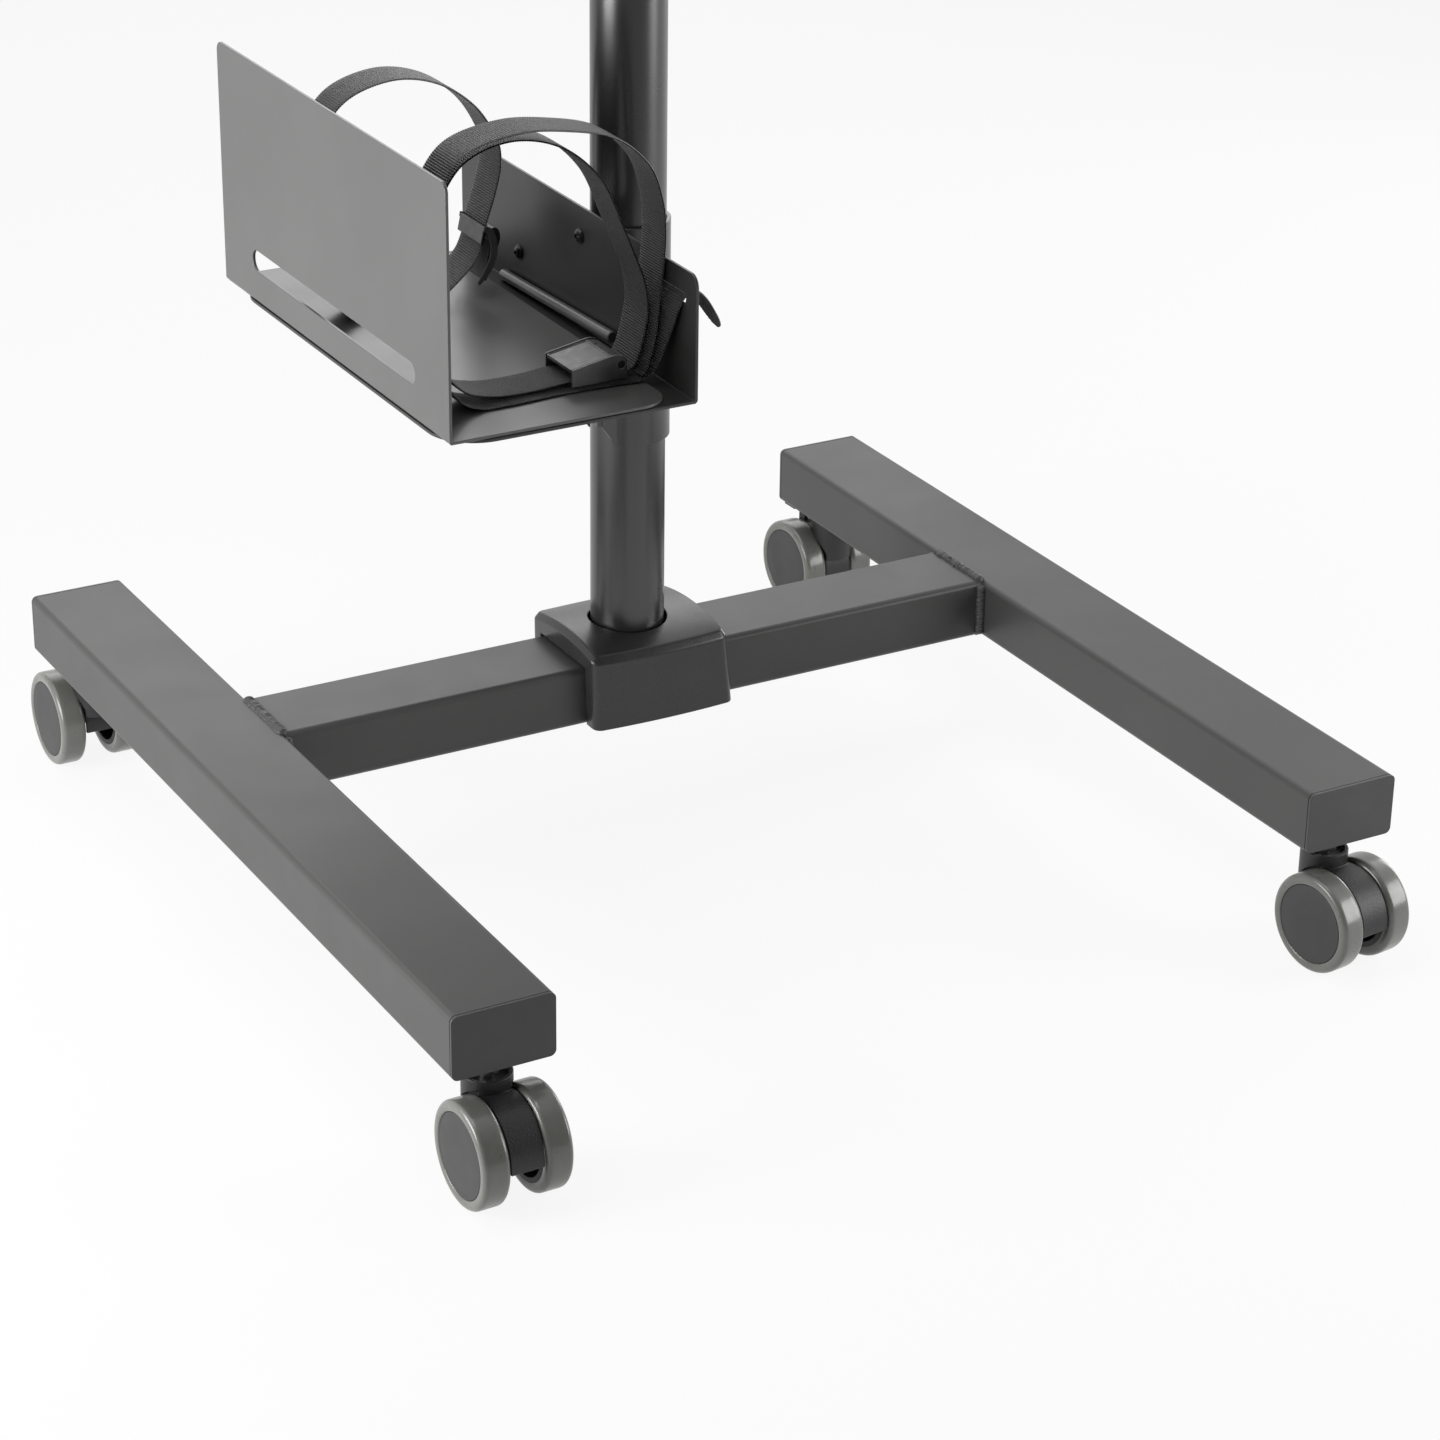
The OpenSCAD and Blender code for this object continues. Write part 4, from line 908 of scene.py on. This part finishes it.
def holed_cheek(shape, outline, low, high, hole, steps=32):
    """Adds a cheek plate with a round hole at the pin."""
    rims = []
    for y in (low, high):
        outer = [shape.verts.new((p[0] * MM, y * MM, p[1] * MM)) for p in outline]
        inner = pin_ring(shape, hole, y, steps)
        edges = []
        for ring in (outer, inner):
            for i, corner in enumerate(ring):
                edges.append(shape.edges.new((corner, ring[(i + 1) % len(ring)])))
        bmesh.ops.triangle_fill(shape, use_beauty=True, edges=edges)
        rims.append((outer, inner))
    for near, far in zip(rims[0], rims[1]):
        for i in range(len(near)):
            j = (i + 1) % len(near)
            shape.faces.new((near[i], near[j], far[j], far[i]))


def frame_mesh(name, place, cheek, base, hole):
    """Buckle frame: two cheeks and the base plate between them; the cheeks' top rims take a light
    tone, a painted highlight.
    """
    shape = bmesh.new()
    for low, high in ((-CHEEK_OUT, -CHEEK_IN), (CHEEK_IN, CHEEK_OUT)):
        if hole:
            holed_cheek(shape, cheek, low, high, hole)
        else:
            prism(shape, cheek, low, high)
    start, end = base
    plate = [(start, BASE_LOW), (end, BASE_LOW), (end, BASE_HIGH), (start, BASE_HIGH)]
    prism(shape, plate, -CHEEK_IN - 0.05, CHEEK_IN + 0.05)
    rounded(shape, 0.35, 3)
    # Upward faces of the cheeks' top rims take the light tone: painted highlight.
    for face in shape.faces:
        if face.normal.z > 0.8 and face.calc_center_median().z > 4 * MM:
            face.material_index = 1
    return placed_mesh(name, shape, place)


def lever_mesh(name, place, top_line):
    """Cam lever: a sheet pan with a raised rim on top, its cam nose, and the pin through it. The rim
    takes a light tone, a painted highlight, and the pin a dark paint, painted shade in the cheek's
    hole.
    """
    shape = bmesh.new()
    nose = arc(PIN, NOSE_R, 0, -155, 12)
    end = top_line[0]
    outline = nose + [(end[0] + 0.3, end[1] - 2.8)] + top_line
    prism(shape, outline, -LEVER_HALF, LEVER_HALF)
    bmesh.ops.recalc_face_normals(shape, faces=shape.faces)
    top = max(shape.faces, key=lambda f: f.normal.z * f.calc_area())
    rim = bmesh.ops.inset_region(shape, faces=[top], thickness=RIM_W * MM, depth=0)["faces"]
    # The rim's faces take the light tone: painted highlight.
    for face in rim:
        face.material_index = 1
    bmesh.ops.inset_region(shape, faces=[top], thickness=RIM_STEP * MM, depth=-PAN_DEPTH * MM)
    rounded(shape, 0.28)
    built = set(shape.faces)
    for low, high in ((-PIN_END, -PIN_START), (PIN_START, PIN_END)):
        pin_stub(shape, low, high)
    # The pin takes the dark paint: painted shade in the cheek's hole.
    for face in shape.faces:
        if face not in built:
            face.material_index = 2
    return placed_mesh(name, shape, place)


near_cheek = [
    (-25, BASE_LOW), (-25, 9.2), (-24.4, 10.3), (9, 16.3), (13.5, 16.4), (17.5, 15.2),
    (20.6, 12.6), (21.6, 10.2), (21.6, BASE_LOW),
]
far_cheek = [
    (20, BASE_LOW), (24, BASE_LOW), (23.4, 1.2), (21.2, 5), (16.5, 8.6), (11, 10.9), (5, 12.2),
    (-1, 12.3), (-7, 11.3), (-13, 9.2), (-18.4, 6.2), (-24.4, 1.6), (-22.6, -0.4), (-16, 2.2),
    (-9.5, 4.6), (-1.2, 6.3), (5, 6.2), (11, 4.6), (17, 1),
]
near_top = [(-24.7, 9.9), (9, 15.7), (14, 15.5), (18.8, 13.8), (22, 11)]
far_top = [(-20.6, 8.2), (8, 13.2), (14, 14), (18.8, 12.8), (22, 10.6)]

buckle_meshes = {
    "near_buckle_frame": frame_mesh("near_buckle_frame", near_place, near_cheek, (-24, 21.4), 3.2),
    "far_buckle_frame": frame_mesh("far_buckle_frame", far_place, far_cheek, (9, 23), 0),
    "near_buckle_lever": lever_mesh("near_buckle_lever", near_place, near_top),
    "far_buckle_lever": lever_mesh("far_buckle_lever", far_place, far_top),
}
# The near buckle takes the lighter copies of the black paint, painted light; the far lever the darker
# one, painted shade.
buckle_finishes = {
    "near_buckle_frame": ("near_cheek_lit_paint", "painted_rim_highlight"),
    "far_buckle_frame": ("buckle_paint", "painted_rim_highlight"),
    "near_buckle_lever": ("near_lever_lit_paint", "painted_rim_highlight", "black_screw"),
    "far_buckle_lever": ("far_lever_shaded_paint", "painted_rim_highlight", "black_screw"),
}
for name, mesh in buckle_meshes.items():
    finish, *extra = buckle_finishes[name]
    stand_for(name, mesh, smooth=40, finish=finish, extra=extra)


# Floor, surround, lamps and camera
VIEW_AHEAD = (0.4945, 0.8692, 0.0)
FLOOR_SIDE = 30
FLOOR_OWN_LIGHT = 0.90


def shown_white(tree, place, start, end, low, interpolation="LINEAR"):
    """Share of white that a surface shows: all of it to the camera and through glass.

    Gloss sees a darker room in front of the stand: low up to start along the camera's view,
    white from end on.
    """
    path = tree.nodes.new("ShaderNodeLightPath")
    depth = tree.nodes.new("ShaderNodeVectorMath")
    depth.operation = "DOT_PRODUCT"
    depth.inputs[1].default_value = VIEW_AHEAD
    tree.links.new(place, depth.inputs[0])
    room = tree.nodes.new("ShaderNodeMapRange")
    room.interpolation_type = interpolation
    room.inputs["From Min"].default_value = start
    room.inputs["From Max"].default_value = end
    room.inputs["To Min"].default_value = low
    room.inputs["To Max"].default_value = 1.0
    tree.links.new(depth.outputs["Value"], room.inputs["Value"])
    mirrored = compute(tree, "MULTIPLY", path.outputs["Is Glossy Ray"], room.outputs["Result"])
    seen = compute(tree, "MAXIMUM", path.outputs["Is Camera Ray"], mirrored)
    return compute(tree, "MAXIMUM", seen, path.outputs["Is Transmission Ray"])


def floor_material():
    """Pale floor that keeps shadows; a share of its light is its own where it is seen."""
    material = bpy.data.materials.new("floor")
    material.use_nodes = True
    tree = material.node_tree
    tree.nodes.clear()
    out = tree.nodes.new("ShaderNodeOutputMaterial")
    plain = tree.nodes.new("ShaderNodeBsdfDiffuse")
    plain.inputs["Color"].default_value = (0.80, 0.80, 0.80, 1)
    white = tree.nodes.new("ShaderNodeEmission")
    white.inputs["Color"].default_value = (1, 1, 1, 1)
    white.inputs["Strength"].default_value = 1.0
    place = tree.nodes.new("ShaderNodeTexCoord").outputs["Object"]
    share = shown_white(tree, place, start=-1.1, end=-0.35, low=0.25)
    mix = tree.nodes.new("ShaderNodeMixShader")
    tree.links.new(compute(tree, "MULTIPLY", share, FLOOR_OWN_LIGHT), mix.inputs["Fac"])
    tree.links.new(plain.outputs["BSDF"], mix.inputs[1])
    tree.links.new(white.outputs["Emission"], mix.inputs[2])
    tree.links.new(mix.outputs["Shader"], out.inputs["Surface"])
    return material


floor_mesh = bpy.data.meshes.new("floor")
floor_corners = [(x * FLOOR_SIDE, y * FLOOR_SIDE, 0) for x, y in ((-1, -1), (1, -1), (1, 1), (-1, 1))]
floor_mesh.from_pydata(floor_corners, [], [(0, 1, 2, 3)])
floor_mesh.materials.append(floor_material())
floor = bpy.data.objects.new("floor", floor_mesh)
bpy.context.collection.objects.link(floor)

world = bpy.data.worlds.new("surround")
bpy.context.scene.world = world
world.use_nodes = True
sky = world.node_tree
background = sky.nodes["Background"]
background.inputs["Color"].default_value = (1, 1, 1, 1)
heading = sky.nodes.new("ShaderNodeTexCoord").outputs["Generated"]
strength = shown_white(sky, heading, start=-0.50, end=0.50, low=0.12, interpolation="SMOOTHSTEP")
sky.links.new(strength, background.inputs["Strength"])


def lamp(name, at, towards, size, power):
    """A soft rectangular lamp."""
    light = bpy.data.lights.new(name, "AREA")
    light.shape = "RECTANGLE"
    light.size, light.size_y = size
    light.energy = power
    shown = bpy.data.objects.new(name, light)
    bpy.context.collection.objects.link(shown)
    shown.location = at
    shown.rotation_mode = "QUATERNION"
    shown.rotation_quaternion = (Vector(towards) - Vector(at)).to_track_quat("-Z", "Y")
    shown.visible_camera = False


lamps = {
    "overhead": ((-0.8, 0.3, 2.9), (-0.1, 0.0, 0.1), (2.2, 2.2), 41),
    "left_side": ((-1.6, 0.02, 0.56), (-0.25, 0.0, 0.32), (0.9, 0.7), 25),
    "right_side": ((1.3, -1.1, 0.6), (0.2, -0.25, 0.15), (0.8, 0.8), 14),
    "right_rim": ((2.2, 0.6, 1.0), (0.0, 0.1, 0.4), (0.7, 1.5), 18),
    "behind": ((0.75, 2.65, 1.75), (0.0, 0.0, 0.3), (2.4, 1.4), 17),
}
for name, (at, towards, size, power) in lamps.items():
    lamp(name, at, towards, size, power)

# Camera, at the place and angles found from the photo's straight edges
CAMERA_AT = (-1.4031, -2.5243, 1.4917)
AZIMUTH = math.radians(-29.64)
ELEVATION = math.radians(25.43)
ROLL = math.radians(0.80)
camera = bpy.data.cameras.new("camera")
camera.lens = 99.75
camera.sensor_width = 36
camera_object = bpy.data.objects.new("camera", camera)
bpy.context.collection.objects.link(camera_object)
level = math.cos(ELEVATION)
back = Vector((math.sin(AZIMUTH) * level, -math.cos(AZIMUTH) * level, math.sin(ELEVATION)))
right = (-back).cross(Vector((0, 0, 1))).normalized()
up = right.cross(-back)
turned_right = right * math.cos(ROLL) + up * math.sin(ROLL)
turned_up = up * math.cos(ROLL) - right * math.sin(ROLL)
facing = Matrix((turned_right, turned_up, back)).transposed().to_4x4()
camera_object.matrix_world = Matrix.Translation(CAMERA_AT) @ facing
bpy.context.scene.camera = camera_object
bpy.context.scene.view_settings.view_transform = "Standard"

# Bring the scene up to date
bpy.context.view_layer.update()
